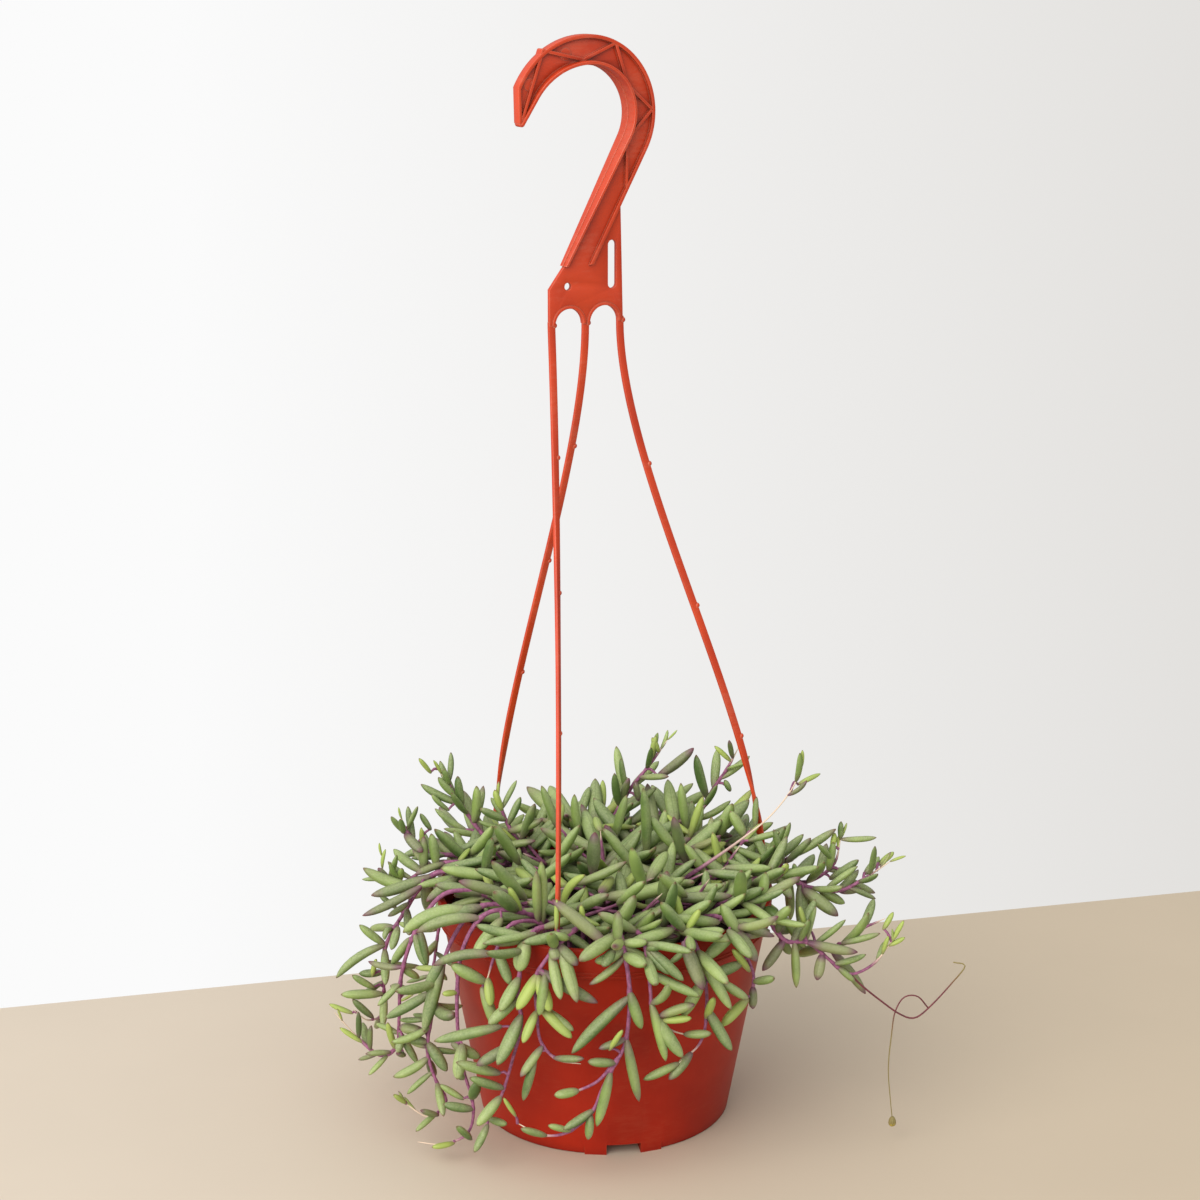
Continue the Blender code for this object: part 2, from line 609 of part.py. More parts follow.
def build_clip(index, foot_angle, collection):
    """Make the clip at a strap's foot, an upturned U over the rim with air on every side."""
    top = POT_HEIGHT + GAP + CLIP_TOP
    ceiling = POT_HEIGHT + GAP
    inside = RIM_RADIUS - RIM_WIDTH - GAP
    outside = RIM_RADIUS + GAP
    outline = (
        (inside - CLIP_LEG, ceiling - CLIP_INNER_DROP), (inside, ceiling - CLIP_INNER_DROP),
        (inside, ceiling), (outside, ceiling), (outside, ceiling - CLIP_OUTER_DROP),
        (outside + CLIP_LEG, ceiling - CLIP_OUTER_DROP), (outside + CLIP_LEG, top - 0.6 * MM),
        (outside + CLIP_LEG - 0.6 * MM, top), (inside - CLIP_LEG + 0.6 * MM, top),
        (inside - CLIP_LEG, top - 0.6 * MM),
    )
    upright = Matrix(((1.0, 0.0, 0.0), (0.0, 0.0, -1.0), (0.0, 1.0, 0.0))).to_4x4()
    return flat_solid(f"clip_{index}", (outline,), CLIP_WIDTH, facing(foot_angle) @ upright,
                      collection)


def build_hanger(collection):
    """Build the hook, its ribs and flanges, the plate and the three straps as one moulding."""
    matrix = hanger_matrix()
    web = build_web(matrix, collection)
    flange = flat_solid("outer_flange", (outer_path(0.0) + outer_path(FLANGE)[::-1],),
                        OUTER_FLANGE_WIDTH, matrix, collection)
    nose = cylinder("nose", 1.2 * MM, OUTER_FLANGE_WIDTH - 0.4 * MM,
                    matrix @ Matrix.Translation((-28.9 * MM, 411.4 * MM, 0.0)), collection, 12)
    tools = [flange, build_inner_flange(matrix, collection), nose]
    tools += build_ribs(matrix, collection)
    tools += build_arch_lips(matrix, collection)
    for index, strap in enumerate(STRAPS):
        tools += build_strap(index, strap, collection)
    return union_all(web, tools)


# ---- Plant ----------------------------------------------------------------------------------

class Crowding:
    """Remembers every placed stem and leaf as spheres and keeps new ones clear of them."""

    def __init__(self):
        self.centres = np.zeros((0, 3))
        self.radii = np.zeros(0)
        self.owners = np.zeros(0, dtype=int)

    def add(self, centres, radii, owner):
        """Remember spheres that belong to one piece."""
        self.centres = np.vstack((self.centres, centres))
        self.radii = np.concatenate((self.radii, radii))
        self.owners = np.concatenate((self.owners, np.full(len(radii), owner)))

    def clear(self, centres, radii, owner):
        """Tell whether spheres keep off the pot, the soil, the floor and every other piece."""
        for centre, radius in zip(centres, radii):
            if not clear_of_pot(centre, radius):
                return False
        offsets = centres[:, None, :] - self.centres[None, :, :]
        distances = np.sqrt((offsets ** 2).sum(axis=2)) - self.radii[None, :] - radii[:, None]
        others = self.owners != owner
        if np.any(distances[:, others] < GAP):
            return False
        own = ~others
        outer_part = distances[len(radii) // 2:]
        return not np.any(outer_part[:, own] < 0.0)


def clear_of_pot(centre, radius):
    """Tell whether a sphere is clear of the pot, the soil in it and the floor under it."""
    x, y, z = centre
    if z < radius + FLOOR_CLEARANCE:
        return False
    from_axis = math.hypot(x, y)
    reach = radius + GAP
    if z > POT_HEIGHT + reach:
        return True
    if from_axis > RIM_RADIUS + reach:
        return True
    if from_axis + reach < SHOULDER_RADIUS - WALL:
        return z > soil_height(from_axis) + reach
    return z < POT_HEIGHT - BAND_HEIGHT - reach and from_axis > wall_radius(z) + 1.03 * reach


def route_points(route):
    """Turn a route's angles, radii and heights into points, the first one on the soil."""
    points = []
    for angle, radius, height in route:
        level = height * MM if height else soil_height(radius * MM) + 0.8 * GAP
        points.append(around(angle, radius * MM, level))
    if route[0][2] == 0:
        points.insert(1, points[0] + Vector((0.0, 0.0, 7.0 * MM)))
    return points


def smooth_route(points, spacing):
    """Run an even Catmull-Rom curve through a list of points."""
    padded = [2.0 * points[0] - points[1], *points, 2.0 * points[-1] - points[-2]]
    dense = []
    for first, second, third, fourth in zip(padded, padded[1:], padded[2:], padded[3:]):
        for step in range(12):
            share = step / 12.0
            dense.append(0.5 * ((2.0 * second) + (third - first) * share
                                + (2.0 * first - 5.0 * second + 4.0 * third - fourth) * share ** 2
                                + (3.0 * second - first - 3.0 * third + fourth) * share ** 3))
    dense.append(points[-1])
    lengths = [0.0]
    for first, second in zip(dense, dense[1:]):
        lengths.append(lengths[-1] + (second - first).length)
    count = max(3, round(lengths[-1] / spacing) + 1)
    evened = []
    index = 0
    for step in range(count):
        wanted = lengths[-1] * step / (count - 1)
        while index < len(lengths) - 2 and lengths[index + 1] < wanted:
            index += 1
        span = max(lengths[index + 1] - lengths[index], 1e-9)
        evened.append(dense[index].lerp(dense[index + 1], (wanted - lengths[index]) / span))
    return evened


def stem_radius(share, thick=STEM_RADIUS, thin=TIP_RADIUS):
    """Radius of a stem at a share of its length from the root."""
    return thick + (thin - thick) * share


def build_tube(name, points, thick, thin, collection):
    """Make a tapering stem as a curve with round section and closed ends, then a mesh."""
    curve = bpy.data.curves.new(name, "CURVE")
    curve.dimensions = "3D"
    curve.bevel_depth = 1.0
    curve.bevel_resolution = 1
    curve.use_fill_caps = True
    spline = curve.splines.new("POLY")
    spline.points.add(len(points) - 1)
    for index, (item, point) in enumerate(zip(spline.points, points)):
        item.co = (*point, 1.0)
        item.radius = stem_radius(index / (len(points) - 1), thick, thin)
    tube = bpy.data.objects.new(name, curve)
    collection.objects.link(tube)
    return curve_to_mesh(tube, collection)


def leaf_girth(share):
    """Relative radius of a leaf along its length: narrow foot, full middle, blunt tip."""
    if not 0.0 < share < 1.0:
        return 0.0
    return math.sin(math.pi * share ** 1.1) ** 0.6


def leaf_spheres(foot, axis, bend, length, radius):
    """Return spheres that fill a leaf."""
    shares = [(step + 0.5) / LEAF_SPHERES for step in range(LEAF_SPHERES)]
    centres = np.array([leaf_point(foot, axis, bend, length, share) for share in shares])
    radii = np.array([radius * leaf_girth(share) for share in shares])
    return centres, radii


def leaf_point(foot, axis, bend, length, share):
    """Return the point of a leaf's bent midline at a share of its length."""
    return foot + axis * (length * share) + bend * (length * share * share)


def build_leaf(name, foot, axis, bend, length, radius, collection):
    """Shape one fat spindle leaf from a coarse sphere."""
    bm = bmesh.new()
    bmesh.ops.create_uvsphere(bm, u_segments=5, v_segments=4, radius=1.0)
    side = axis.orthogonal().normalized()
    across = axis.cross(side)
    for vertex in bm.verts:
        share = (vertex.co.z + 1.0) / 2.0
        flat = Vector((vertex.co.x, vertex.co.y, 0.0))
        direction = flat.normalized() if flat.length > 1e-6 else flat
        girth = radius * leaf_girth(share)
        vertex.co = (leaf_point(foot, axis, bend, length, share)
                     + (side * direction.x + across * direction.y) * girth)
    return object_from_bmesh(name, bm, collection)


class Shoot:
    """A stem with its side shoots and leaves, which end up as one solid."""

    def __init__(self, name, owner, routes, leaf_count, thick=STEM_RADIUS, thin=TIP_RADIUS):
        self.name = name
        self.owner = owner
        self.paths = [smooth_route(points, STEM_POINT_SPACING) for points in routes]
        self.thick = thick
        self.thin = thin
        self.leaf_count = leaf_count
        self.leaves = []

    def radius_at(self, share, branch):
        """Radius of the main stem, or of a side shoot, at a share of its length."""
        thick = self.thick if branch == 0 else 0.5 * (self.thick + self.thin)
        return stem_radius(share, thick, self.thin)

    def spheres(self):
        """Return spheres strung along every stem of this shoot."""
        centres = []
        radii = []
        for branch, path in enumerate(self.paths):
            for index in range(len(path) - 1):
                for step in range(4):
                    share = (index + step / 4.0) / (len(path) - 1)
                    centres.append(path[index].lerp(path[index + 1], step / 4.0))
                    radii.append(1.1 * self.radius_at(share, branch))
            centres.append(path[-1])
            radii.append(1.1 * self.radius_at(1.0, branch))
        return np.array(centres), np.array(radii)

    def grow_leaves(self, crowding, rng):
        """Set leaves round the stem, each turned or shortened until it has room."""
        stations = []
        main = self.leaf_count if len(self.paths) == 1 else self.leaf_count - 2
        for index in range(main):
            stations.append((0, 0.34 + 0.64 * index / max(1, main - 1)))
        for branch in range(1, len(self.paths)):
            stations += [(branch, 0.55), (branch, 0.97)]
        turn = rng.uniform(0.0, 2.0 * math.pi)
        for branch, share in stations:
            turn += GOLDEN_ANGLE
            self.try_leaf(branch, share, turn, crowding, rng)

    def try_leaf(self, branch, share, turn, crowding, rng):
        """Place one leaf at a share of a stem's length if any turn of it is clear."""
        path = self.paths[branch]
        place = share * (len(path) - 1)
        index = min(int(place), len(path) - 2)
        foot = path[index].lerp(path[index + 1], place - index)
        ahead = (path[index + 1] - path[index]).normalized()
        side = ahead.orthogonal().normalized()
        across = ahead.cross(side)
        oldest, youngest = LEAF_LENGTHS
        wanted = oldest + (youngest - oldest) * share ** 1.5
        wanted *= rng.uniform(0.9, 1.15)
        fatness = LEAF_FATNESS * rng.uniform(0.9, 1.1)
        lean = math.radians(rng.uniform(38.0, 62.0)) if share < 0.93 else math.radians(18.0)
        bend_size = rng.uniform(-0.06, 0.14)
        for shrink in (1.0, 0.85, 0.7):
            for extra in (0.0, 0.5, -0.5, 1.0, -1.0, 1.6, -1.6, 2.2, -2.2, 3.0):
                angle = turn + extra
                outward = side * math.cos(angle) + across * math.sin(angle)
                axis = ahead * math.cos(lean) + outward * math.sin(lean)
                axis = (axis + Vector((0.0, 0.0, 0.12))).normalized()
                bend = (Vector((0.0, 0.0, 1.0)) - axis * axis.z) * bend_size
                length = wanted * shrink
                radius = length * fatness
                seat = foot - axis * (0.4 * self.radius_at(share, branch))
                centres, radii = leaf_spheres(seat, axis, bend, length, radius)
                if crowding.clear(centres, radii, self.owner):
                    crowding.add(centres, radii, self.owner)
                    self.leaves.append((seat, axis, bend, length, radius))
                    return

    def build(self, collection):
        """Join the stems and leaves into one closed solid."""
        body = build_tube(self.name, self.paths[0], self.thick, self.thin, collection)
        tools = []
        for index, path in enumerate(self.paths[1:]):
            tools.append(build_tube(f"side_shoot_{index}", path, 0.5 * (self.thick + self.thin),
                                    self.thin, collection))
        for index, leaf in enumerate(self.leaves):
            tools.append(build_leaf(f"leaf_{index}", *leaf, collection))
        return union_all(body, tools)


def crown_routes(rng):
    """Yield the routes of the crown's short shoots, ring by ring."""
    for count, radius, lean, length in CROWN_RINGS:
        for index in range(count):
            angle = 360.0 * (index + 0.5 * (count % 2)) / count + rng.uniform(-6.0, 6.0)
            reach = length * rng.uniform(0.9, 1.15)
            tilt = math.radians(25.0 + lean + radius * 0.7 + rng.uniform(-10.0, 10.0))
            swing = rng.uniform(-14.0, 14.0)
            root = soil_height(radius * MM) / MM
            yield ((angle, radius, 0),
                   (angle + 0.4 * swing, radius + 0.45 * reach * math.sin(tilt), root + 13.0),
                   (angle + swing, radius + reach * math.sin(tilt),
                    root + 13.0 + 0.7 * reach * math.cos(tilt)))


def strap_spheres():
    """Return spheres along the straps and over the clips, which the plant keeps clear of."""
    centres = []
    radii = []
    for across, foot_angle, *_, bow, _ in STRAPS:
        path = strap_path(across, foot_angle, bow)
        for step in range(121):
            point = strap_point(path, step / 120.0)
            centres.append(point)
            radii.append(2.0 * MM)
        for drop in range(4):
            for radius in (RIM_RADIUS - RIM_WIDTH - 1.2 * MM, RIM_RADIUS + 1.2 * MM):
                centres.append(around(foot_angle, radius, POT_HEIGHT + (1.0 - 2.4 * drop) * MM))
                radii.append(2.3 * MM)
    return np.array(centres), np.array(radii)


def grow_plant(crowding):
    """Lay out every shoot, stems first and then the leaves between them."""
    rng = random.Random(SEED)
    shoots = []
    for name, leaf_count, route, side_shoots in TRAILING_STEMS:
        routes = [route_points(route)] + [route_points(side) for side in side_shoots]
        shoot = Shoot(name, len(shoots) + 1, routes, leaf_count)
        crowding.add(*shoot.spheres(), shoot.owner)
        shoots.append(shoot)
    for route in crown_routes(rng):
        for nudge in (0, 5, -5, 10, -10, 15, -15, 20, -20, 25, -25):
            turned_route = [(angle + nudge, radius, height) for angle, radius, height in route]
            shoot = Shoot("crown_shoot", len(shoots) + 1, [route_points(turned_route)], CROWN_LEAVES)
            centres, radii = shoot.spheres()
            if crowding.clear(centres[2:], radii[2:], shoot.owner):
                crowding.add(centres, radii, shoot.owner)
                shoots.append(shoot)
                break
    crown = [shoot for shoot in shoots if shoot.name == "crown_shoot"]
    for index, shoot in enumerate(crown):
        shoot.name = f"crown_shoot_{index + 1:02d}"
    for shoot in shoots:
        shoot.grow_leaves(crowding, rng)
    return shoots


def build_flower_stalk(collection):
    """Build the wiry stalk, its drooping branch and the closed flower head as one piece."""
    stalk = build_tube("flower_stalk", smooth_route(route_points(STALK_ROUTE), 5.0 * MM),
                       STALK_RADIUS, 0.7 * STALK_RADIUS, collection)
    branch_points = smooth_route(route_points(STALK_BRANCH), 5.0 * MM)
    branch = build_tube("stalk_branch", branch_points, 0.9 * STALK_RADIUS, 0.7 * STALK_RADIUS,
                        collection)
    tip = branch_points[-1]
    bm = bmesh.new()
    bmesh.ops.create_uvsphere(bm, u_segments=8, v_segments=6, radius=1.0)
    bmesh.ops.scale(bm, vec=(FLOWER_RADIUS, FLOWER_RADIUS, FLOWER_LENGTH / 2.0), verts=bm.verts)
    bmesh.ops.translate(bm, vec=tip - Vector((0.0, 0.0, 0.35 * FLOWER_LENGTH)), verts=bm.verts)
    head = object_from_bmesh("flower_head", bm, collection)
    return union_all(stalk, [branch, head])


def finish(item, material):
    """Dress a solid and shade its round faces smooth."""
    item.data.materials.clear()
    item.data.materials.append(material)
    item.data.shade_smooth()
    item.data.set_sharp_from_angle(angle=math.radians(35.0))


def main():
    """Build every piece of the potted plant."""
    clear_scene()
    collection = make_collection("potted_string_of_rubies")
    pot_plastic = make_material("pot_plastic", (0.33, 0.025, 0.012), 0.45)
    hanger_plastic = make_material("hanger_plastic", (0.55, 0.045, 0.02), 0.4)
    peat = make_material("peat", (0.02, 0.012, 0.008), 0.95)
    leaf_skin = make_material("leaf_skin", (0.16, 0.25, 0.09), 0.5)
    stalk_skin = make_material("stalk_skin", (0.14, 0.03, 0.04), 0.5)

    finish(build_pot(collection), pot_plastic)
    finish(build_soil(collection), peat)
    finish(build_hanger(collection), hanger_plastic)

    crowding = Crowding()
    crowding.add(*strap_spheres(), -1)
    stalk_points = smooth_route(route_points(STALK_ROUTE), 2.0 * MM)
    stalk_points += smooth_route(route_points(STALK_BRANCH), 2.0 * MM)
    crowding.add(np.array(stalk_points), np.full(len(stalk_points), 1.2 * STALK_RADIUS), -2)
    for shoot in grow_plant(crowding):
        finish(shoot.build(collection), leaf_skin)
    finish(build_flower_stalk(collection), stalk_skin)


main()
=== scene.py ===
"""Looks of a potted string of rubies: a trailing succulent in a red plastic hanging pot.

Metres, +Z up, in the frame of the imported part: the origin is the centre of the pot's
underside, -Y is the front and +X is the viewer's right. An angle round the pot starts at the
front (-Y) and grows towards +X. Sizes are in millimetres where a name or comment says so.
"""

import logging
import random
from collections.abc import Callable, Iterator, Sequence
from dataclasses import dataclass, field
from enum import Enum
from functools import partial
from itertools import accumulate, product
from math import atan2, cos, degrees, exp, hypot, inf, pi, radians, sin, sqrt, tan
from typing import ClassVar

import bmesh
import bpy
import numpy as np
from bpy.types import Material, Mesh, Node, NodeSocket, Object, World
from mathutils import Matrix, Vector, noise

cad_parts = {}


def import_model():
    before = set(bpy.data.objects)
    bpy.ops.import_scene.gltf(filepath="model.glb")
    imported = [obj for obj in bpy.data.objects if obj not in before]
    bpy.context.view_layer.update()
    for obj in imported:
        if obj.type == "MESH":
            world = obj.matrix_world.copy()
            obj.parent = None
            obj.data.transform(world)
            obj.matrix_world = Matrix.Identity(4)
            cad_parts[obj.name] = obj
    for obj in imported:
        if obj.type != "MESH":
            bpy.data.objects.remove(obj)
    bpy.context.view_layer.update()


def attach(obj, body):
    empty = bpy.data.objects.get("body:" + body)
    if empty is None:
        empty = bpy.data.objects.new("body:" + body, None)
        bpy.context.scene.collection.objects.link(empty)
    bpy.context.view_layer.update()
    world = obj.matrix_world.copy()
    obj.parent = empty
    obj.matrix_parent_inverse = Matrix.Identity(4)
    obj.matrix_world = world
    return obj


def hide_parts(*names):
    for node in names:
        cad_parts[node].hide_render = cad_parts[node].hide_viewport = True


MM = 0.001
LOG = logging.getLogger("string_of_rubies")
BODY = "root"
UP = Vector((0.0, 0.0, 1.0))
RIGHT = Vector((1.0, 0.0, 0.0))
Pair = tuple[float, float]
Spheres = tuple[np.ndarray, np.ndarray]
Triple = tuple[float, float, float]
Route = tuple[Triple, ...]
Adder = Callable[..., Node]


# ---- Geometry helpers ----

def around(angle: float, radius: float, height: float) -> Vector:
    """Place a point by its angle from the front in degrees, radius and height in metres."""
    turn = radians(angle)
    return Vector((radius * sin(turn), -radius * cos(turn), height))


def facing(angle: float) -> Matrix:
    """Return a turn about Z that carries local +X to the given angle round the pot."""
    return Matrix.Rotation(radians(angle - 90.0), 4, "Z")


def arc(centre: Sequence[float], radius: float, start: float, end: float, count: int) -> list[Pair]:
    """Return points along an arc, both ends included.

    Args:
        centre: middle of the arc, as two coordinates.
        radius: radius of the arc.
        start: first angle in radians.
        end: last angle in radians.
        count: number of points.

    Returns:
        The points, from start to end.
    """
    angles = [start + (end - start) * step / (count - 1) for step in range(count)]
    return [(centre[0] + radius * cos(angle), centre[1] + radius * sin(angle)) for angle in angles]


def circle(centre: Sequence[float], radius: float, count: int) -> list[Pair]:
    """Return evenly spaced points round a circle."""
    return arc(centre, radius, 0.0, 2.0 * pi * (count - 1) / count, count)


def ease(value: float) -> float:
    """Ease from 0 to 1."""
    value = min(1.0, max(0.0, value))
    return value * value * (3.0 - 2.0 * value)


def lengths_along(points: Sequence[Vector]) -> list[float]:
    """Return how far along a line of points each one lies."""
    steps = [(second - first).length for first, second in zip(points, points[1:])]
    return list(accumulate(steps, initial=0.0))


def smooth_route(points: Sequence[Vector], spacing: float) -> list[Vector]:
    """Run an evenly spaced Catmull-Rom curve through a list of points.

    Args:
        points: the points to pass through.
        spacing: distance wanted between the points of the curve.

    Returns:
        The points of the curve, both ends included.
    """
    padded = [2.0 * points[0] - points[1], *points, 2.0 * points[-1] - points[-2]]
    dense = []
    for first, second, third, fourth in zip(padded, padded[1:], padded[2:], padded[3:]):
        for step in range(12):
            share = step / 12.0
            dense.append(0.5 * ((2.0 * second) + (third - first) * share
                + (2.0 * first - 5.0 * second + 4.0 * third - fourth) * share ** 2
                + (3.0 * second - first - 3.0 * third + fourth) * share ** 3))
    dense.append(points[-1])
    lengths = lengths_along(dense)
    count = max(3, round(lengths[-1] / spacing) + 1)
    evened = []
    index = 0
    for step in range(count):
        wanted = lengths[-1] * step / (count - 1)
        while index < len(lengths) - 2 and lengths[index + 1] < wanted:
            index += 1
        span = max(lengths[index + 1] - lengths[index], 1e-9)
        evened.append(dense[index].lerp(dense[index + 1], (wanted - lengths[index]) / span))
    return evened


def soft_box_ring(centre: Vector, across: Vector, up: Vector, half: Pair, sides: int,
        squareness: float) -> np.ndarray:
    """Return a ring of points round a rounded rectangle.

    Args:
        centre: middle of the rectangle.
        across: unit vector along its first side.
        up: unit vector along its second side.
        half: half its width and half its height.
        sides: number of points.
        squareness: power of the superellipse, 1 for an ellipse and near 0 for a sharp box.

    Returns:
        An array of points, one row each.
    """
    angles = 2.0 * pi * (np.arange(sides) + 0.5) / sides
    wide = half[0] * np.sign(np.cos(angles)) * np.abs(np.cos(angles)) ** squareness
    tall = half[1] * np.sign(np.sin(angles)) * np.abs(np.sin(angles)) ** squareness
    return np.array(centre) + np.outer(wide, np.array(across)) + np.outer(tall, np.array(up))


def egg_rings(middle: Vector, across: Vector, along: Vector, radius: float,
        half_length: float) -> np.ndarray:
    """Return the rings of an egg or a ball, from one end of its long axis to the other."""
    levels = [cos(pi * step / 10.0) for step in range(11)]
    return np.array([soft_box_ring(middle + along * (half_length * level), across,
        along.cross(across), (radius * max(0.04, sqrt(1.0 - level ** 2)),) * 2, sides=14,
        squareness=1.0) for level in levels])


def tube_rings(path: Sequence[Vector], radii: Sequence[float], sides: int) -> np.ndarray:
    """Return the rings of a round tube along a path, turned without twist.

    Args:
        path: points of the midline.
        radii: the tube's radius at each point.
        sides: points on each ring.

    Returns:
        An array of rings, points and coordinates.
    """
    side = (path[1] - path[0]).orthogonal().normalized()
    angles = 2.0 * pi * np.arange(sides) / sides
    rings = []
    for index, point in enumerate(path):
        ahead = path[min(index + 1, len(path) - 1)] - path[max(index - 1, 0)]
        ahead.normalize()
        side = (side - ahead * side.dot(ahead)).normalized()
        across = ahead.cross(side)
        rings.append(np.array(point) + radii[index] * (np.outer(np.cos(angles), side)
            + np.outer(np.sin(angles), across)))
    return np.array(rings)


class Skin:
    """Gathers closed shells into one mesh, with the values that its materials read.

    They are: along, the share of a leaf's or stem's length; crest, 1 on its upper line and 0
    along its underside; tone, a leaf's own shade; youth, 1 for a new leaf; blush, how purple.
    """

    VALUES = ("along", "crest", "tone", "youth", "blush")

    def __init__(self) -> None:
        """Start with no shells."""
        self.points: list[np.ndarray] = []
        self.faces: list[tuple[int, ...]] = []
        self.slots: list[int] = []
        self.values: dict[str, list[np.ndarray]] = {name: [] for name in self.VALUES}
        self.count = 0

    def add_rings(self, rings: np.ndarray, slot: int = 0, along: np.ndarray | None = None,
            tone: float = 0.5, youth: float | np.ndarray = 0.0, blush: float = 0.0) -> None:
        """Add one shell that runs through rings of points and is closed at both ends.

        Args:
            rings: array of rings, points and coordinates.
            slot: number of the shell's material.
            along: share of the length at each ring, even where none is given.
            tone: the shell's own shade.
            youth: 0 for grown to 1 for new, one for the shell or one for each ring.
            blush: how purple the shell is.
        """
        ring_count, sides, _ = rings.shape
        start = self.count
        for ring in range(ring_count - 1):
            for side in range(sides):
                after = (side + 1) % sides
                low = start + ring * sides
                self.faces.append((low + side, low + after, low + sides + after,
                    low + sides + side))
        self.faces.append(tuple(start + side for side in reversed(range(sides))))
        last = start + (ring_count - 1) * sides
        self.faces.append(tuple(last + side for side in range(sides)))
        self.slots += [slot] * ((ring_count - 1) * sides + 2)
        if along is None:
            along = np.linspace(0.0, 1.0, ring_count)
        total = ring_count * sides
        self.points.append(rings.reshape(-1, 3))
        self.values["along"].append(np.repeat(along, sides))
        crest = 0.5 + 0.5 * np.sin(2.0 * pi * np.arange(sides) / sides)
        self.values["crest"].append(np.tile(crest, ring_count))
        self.values["tone"].append(np.full(total, tone))
        self.values["youth"].append(np.repeat(np.broadcast_to(youth, ring_count), sides))
        self.values["blush"].append(np.full(total, blush))
        self.count += total

    def build(self, name: str, materials: Sequence[Material]) -> Object:
        """Make the mesh object.

        Args:
            name: the object's name.
            materials: its materials, in the order of the slot numbers.

        Returns:
            The object, linked to the scene.
        """
        mesh = bpy.data.meshes.new(name)
        mesh.from_pydata(np.vstack(self.points).tolist(), [], self.faces)
        for key, parts in self.values.items():
            layer = mesh.attributes.new(key, "FLOAT", "POINT")
            layer.data.foreach_set("value", np.concatenate(parts).astype(np.float32))
        for material in materials:
            mesh.materials.append(material)
        mesh.polygons.foreach_set("material_index", self.slots)
        return link_smooth(name, mesh)


def link(name: str, data: bpy.types.ID) -> Object:
    """Link a mesh, a curve, a lamp or a camera to the scene as a new object."""
    item = bpy.data.objects.new(name, data)
    bpy.context.scene.collection.objects.link(item)
    return item


def hand_over(item: Object, node: str) -> Object:
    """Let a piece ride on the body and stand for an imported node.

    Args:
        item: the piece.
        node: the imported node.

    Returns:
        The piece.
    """
    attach(item, BODY)
    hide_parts(node)
    return item


def link_smooth(name: str, mesh: Mesh, sharp: float = 40.0) -> Object:
    """Link a mesh as an object whose faces are smooth except across sharp edges."""
    mesh.shade_smooth()
    mesh.set_sharp_from_angle(angle=radians(sharp))
    return link(name, mesh)


def mesh_from(bm: bmesh.types.BMesh, name: str) -> Mesh:
    """Turn a bmesh into a new mesh, and free it.

    Args:
        bm: the bmesh.
        name: the mesh's name.

    Returns:
        The mesh.
    """
    mesh = bpy.data.meshes.new(name)
    bm.to_mesh(mesh)
    bm.free()
    return mesh


def box(size: Sequence[float], place: Matrix) -> bmesh.types.BMesh:
    """Make a box of three sizes, centred on a place."""
    bm = bmesh.new()
    bmesh.ops.create_cube(bm, size=1.0, matrix=place @ Matrix.Diagonal((*size, 1.0)))
    return bm


def merged(mesh: Mesh, distance: float) -> bmesh.types.BMesh:
    """Load a mesh and merge the points that nearly meet.

    Args:
        mesh: the mesh.
        distance: how near such points lie.

    Returns:
        A new bmesh.
    """
    bm = bmesh.new()
    bm.from_mesh(mesh)
    bmesh.ops.remove_doubles(bm, verts=bm.verts, dist=distance)
    return bm


def mesh_of(item: Object) -> Mesh:
    """Take the mesh out of an object, with its modifiers applied, and remove the object.

    Args:
        item: the object.

    Returns:
        Its mesh, in the scene's frame.
    """
    graph = bpy.context.evaluated_depsgraph_get()
    mesh = bpy.data.meshes.new_from_object(item.evaluated_get(graph))
    mesh.transform(item.matrix_world)
    bpy.data.objects.remove(item)
    return mesh


def flat_moulding(outlines: Sequence[Sequence[Pair]], thickness: float, edge: float,
        matrix: Matrix) -> Mesh:
    """Extrude flat outlines, holes included, into a plate with rounded edges.

    Args:
        outlines: the outer outline and then its holes.
        thickness: full thickness of the plate.
        edge: radius of its rounded edges.
        matrix: where the plate's own XY plane is placed.

    Returns:
        The plate as a closed mesh.
    """
    curve = bpy.data.curves.new("outline", "CURVE")
    curve.dimensions = "2D"
    curve.fill_mode = "BOTH"
    curve.extrude = thickness / 2.0 - edge
    curve.bevel_depth = edge
    curve.bevel_resolution = 1
    curve.offset = -edge
    for outline in outlines:
        spline = curve.splines.new("POLY")
        spline.points.add(len(outline) - 1)
        for item, point in zip(spline.points, outline):
            item.co = (*point, 0.0, 1.0)
        spline.use_cyclic_u = True
    plate = link("plate", curve)
    bpy.context.view_layer.update()
    bm = merged(mesh_of(plate), 0.004 * MM)
    bmesh.ops.transform(bm, matrix=matrix, verts=bm.verts)
    bmesh.ops.recalc_face_normals(bm, faces=bm.faces)
    return mesh_from(bm, "plate")


def joined(name: str, meshes: Sequence[Mesh]) -> Mesh:
    """Gather several closed meshes into one.

    Args:
        name: the new mesh's name.
        meshes: the meshes, which are removed.

    Returns:
        The new mesh.
    """
    bm = bmesh.new()
    for mesh in meshes:
        bm.from_mesh(mesh)
        bpy.data.meshes.remove(mesh)
    return mesh_from(bm, name)


# ---- Finishes ----

def linear(code: str) -> tuple[float, float, float, float]:
    """Turn an sRGB hex code into linear red, green, blue and alpha."""
    channels = [int(code[index:index + 2], 16) / 255.0 for index in (1, 3, 5)]
    red, green, blue = (value / 12.92 if value <= 0.04045 else ((value + 0.055) / 1.055) ** 2.4
        for value in channels)
    return red, green, blue, 1.0


def per_metre(size_mm: float) -> float:
    """Scale of a texture whose features are this many millimetres across."""
    return 1.0 / (size_mm * MM)


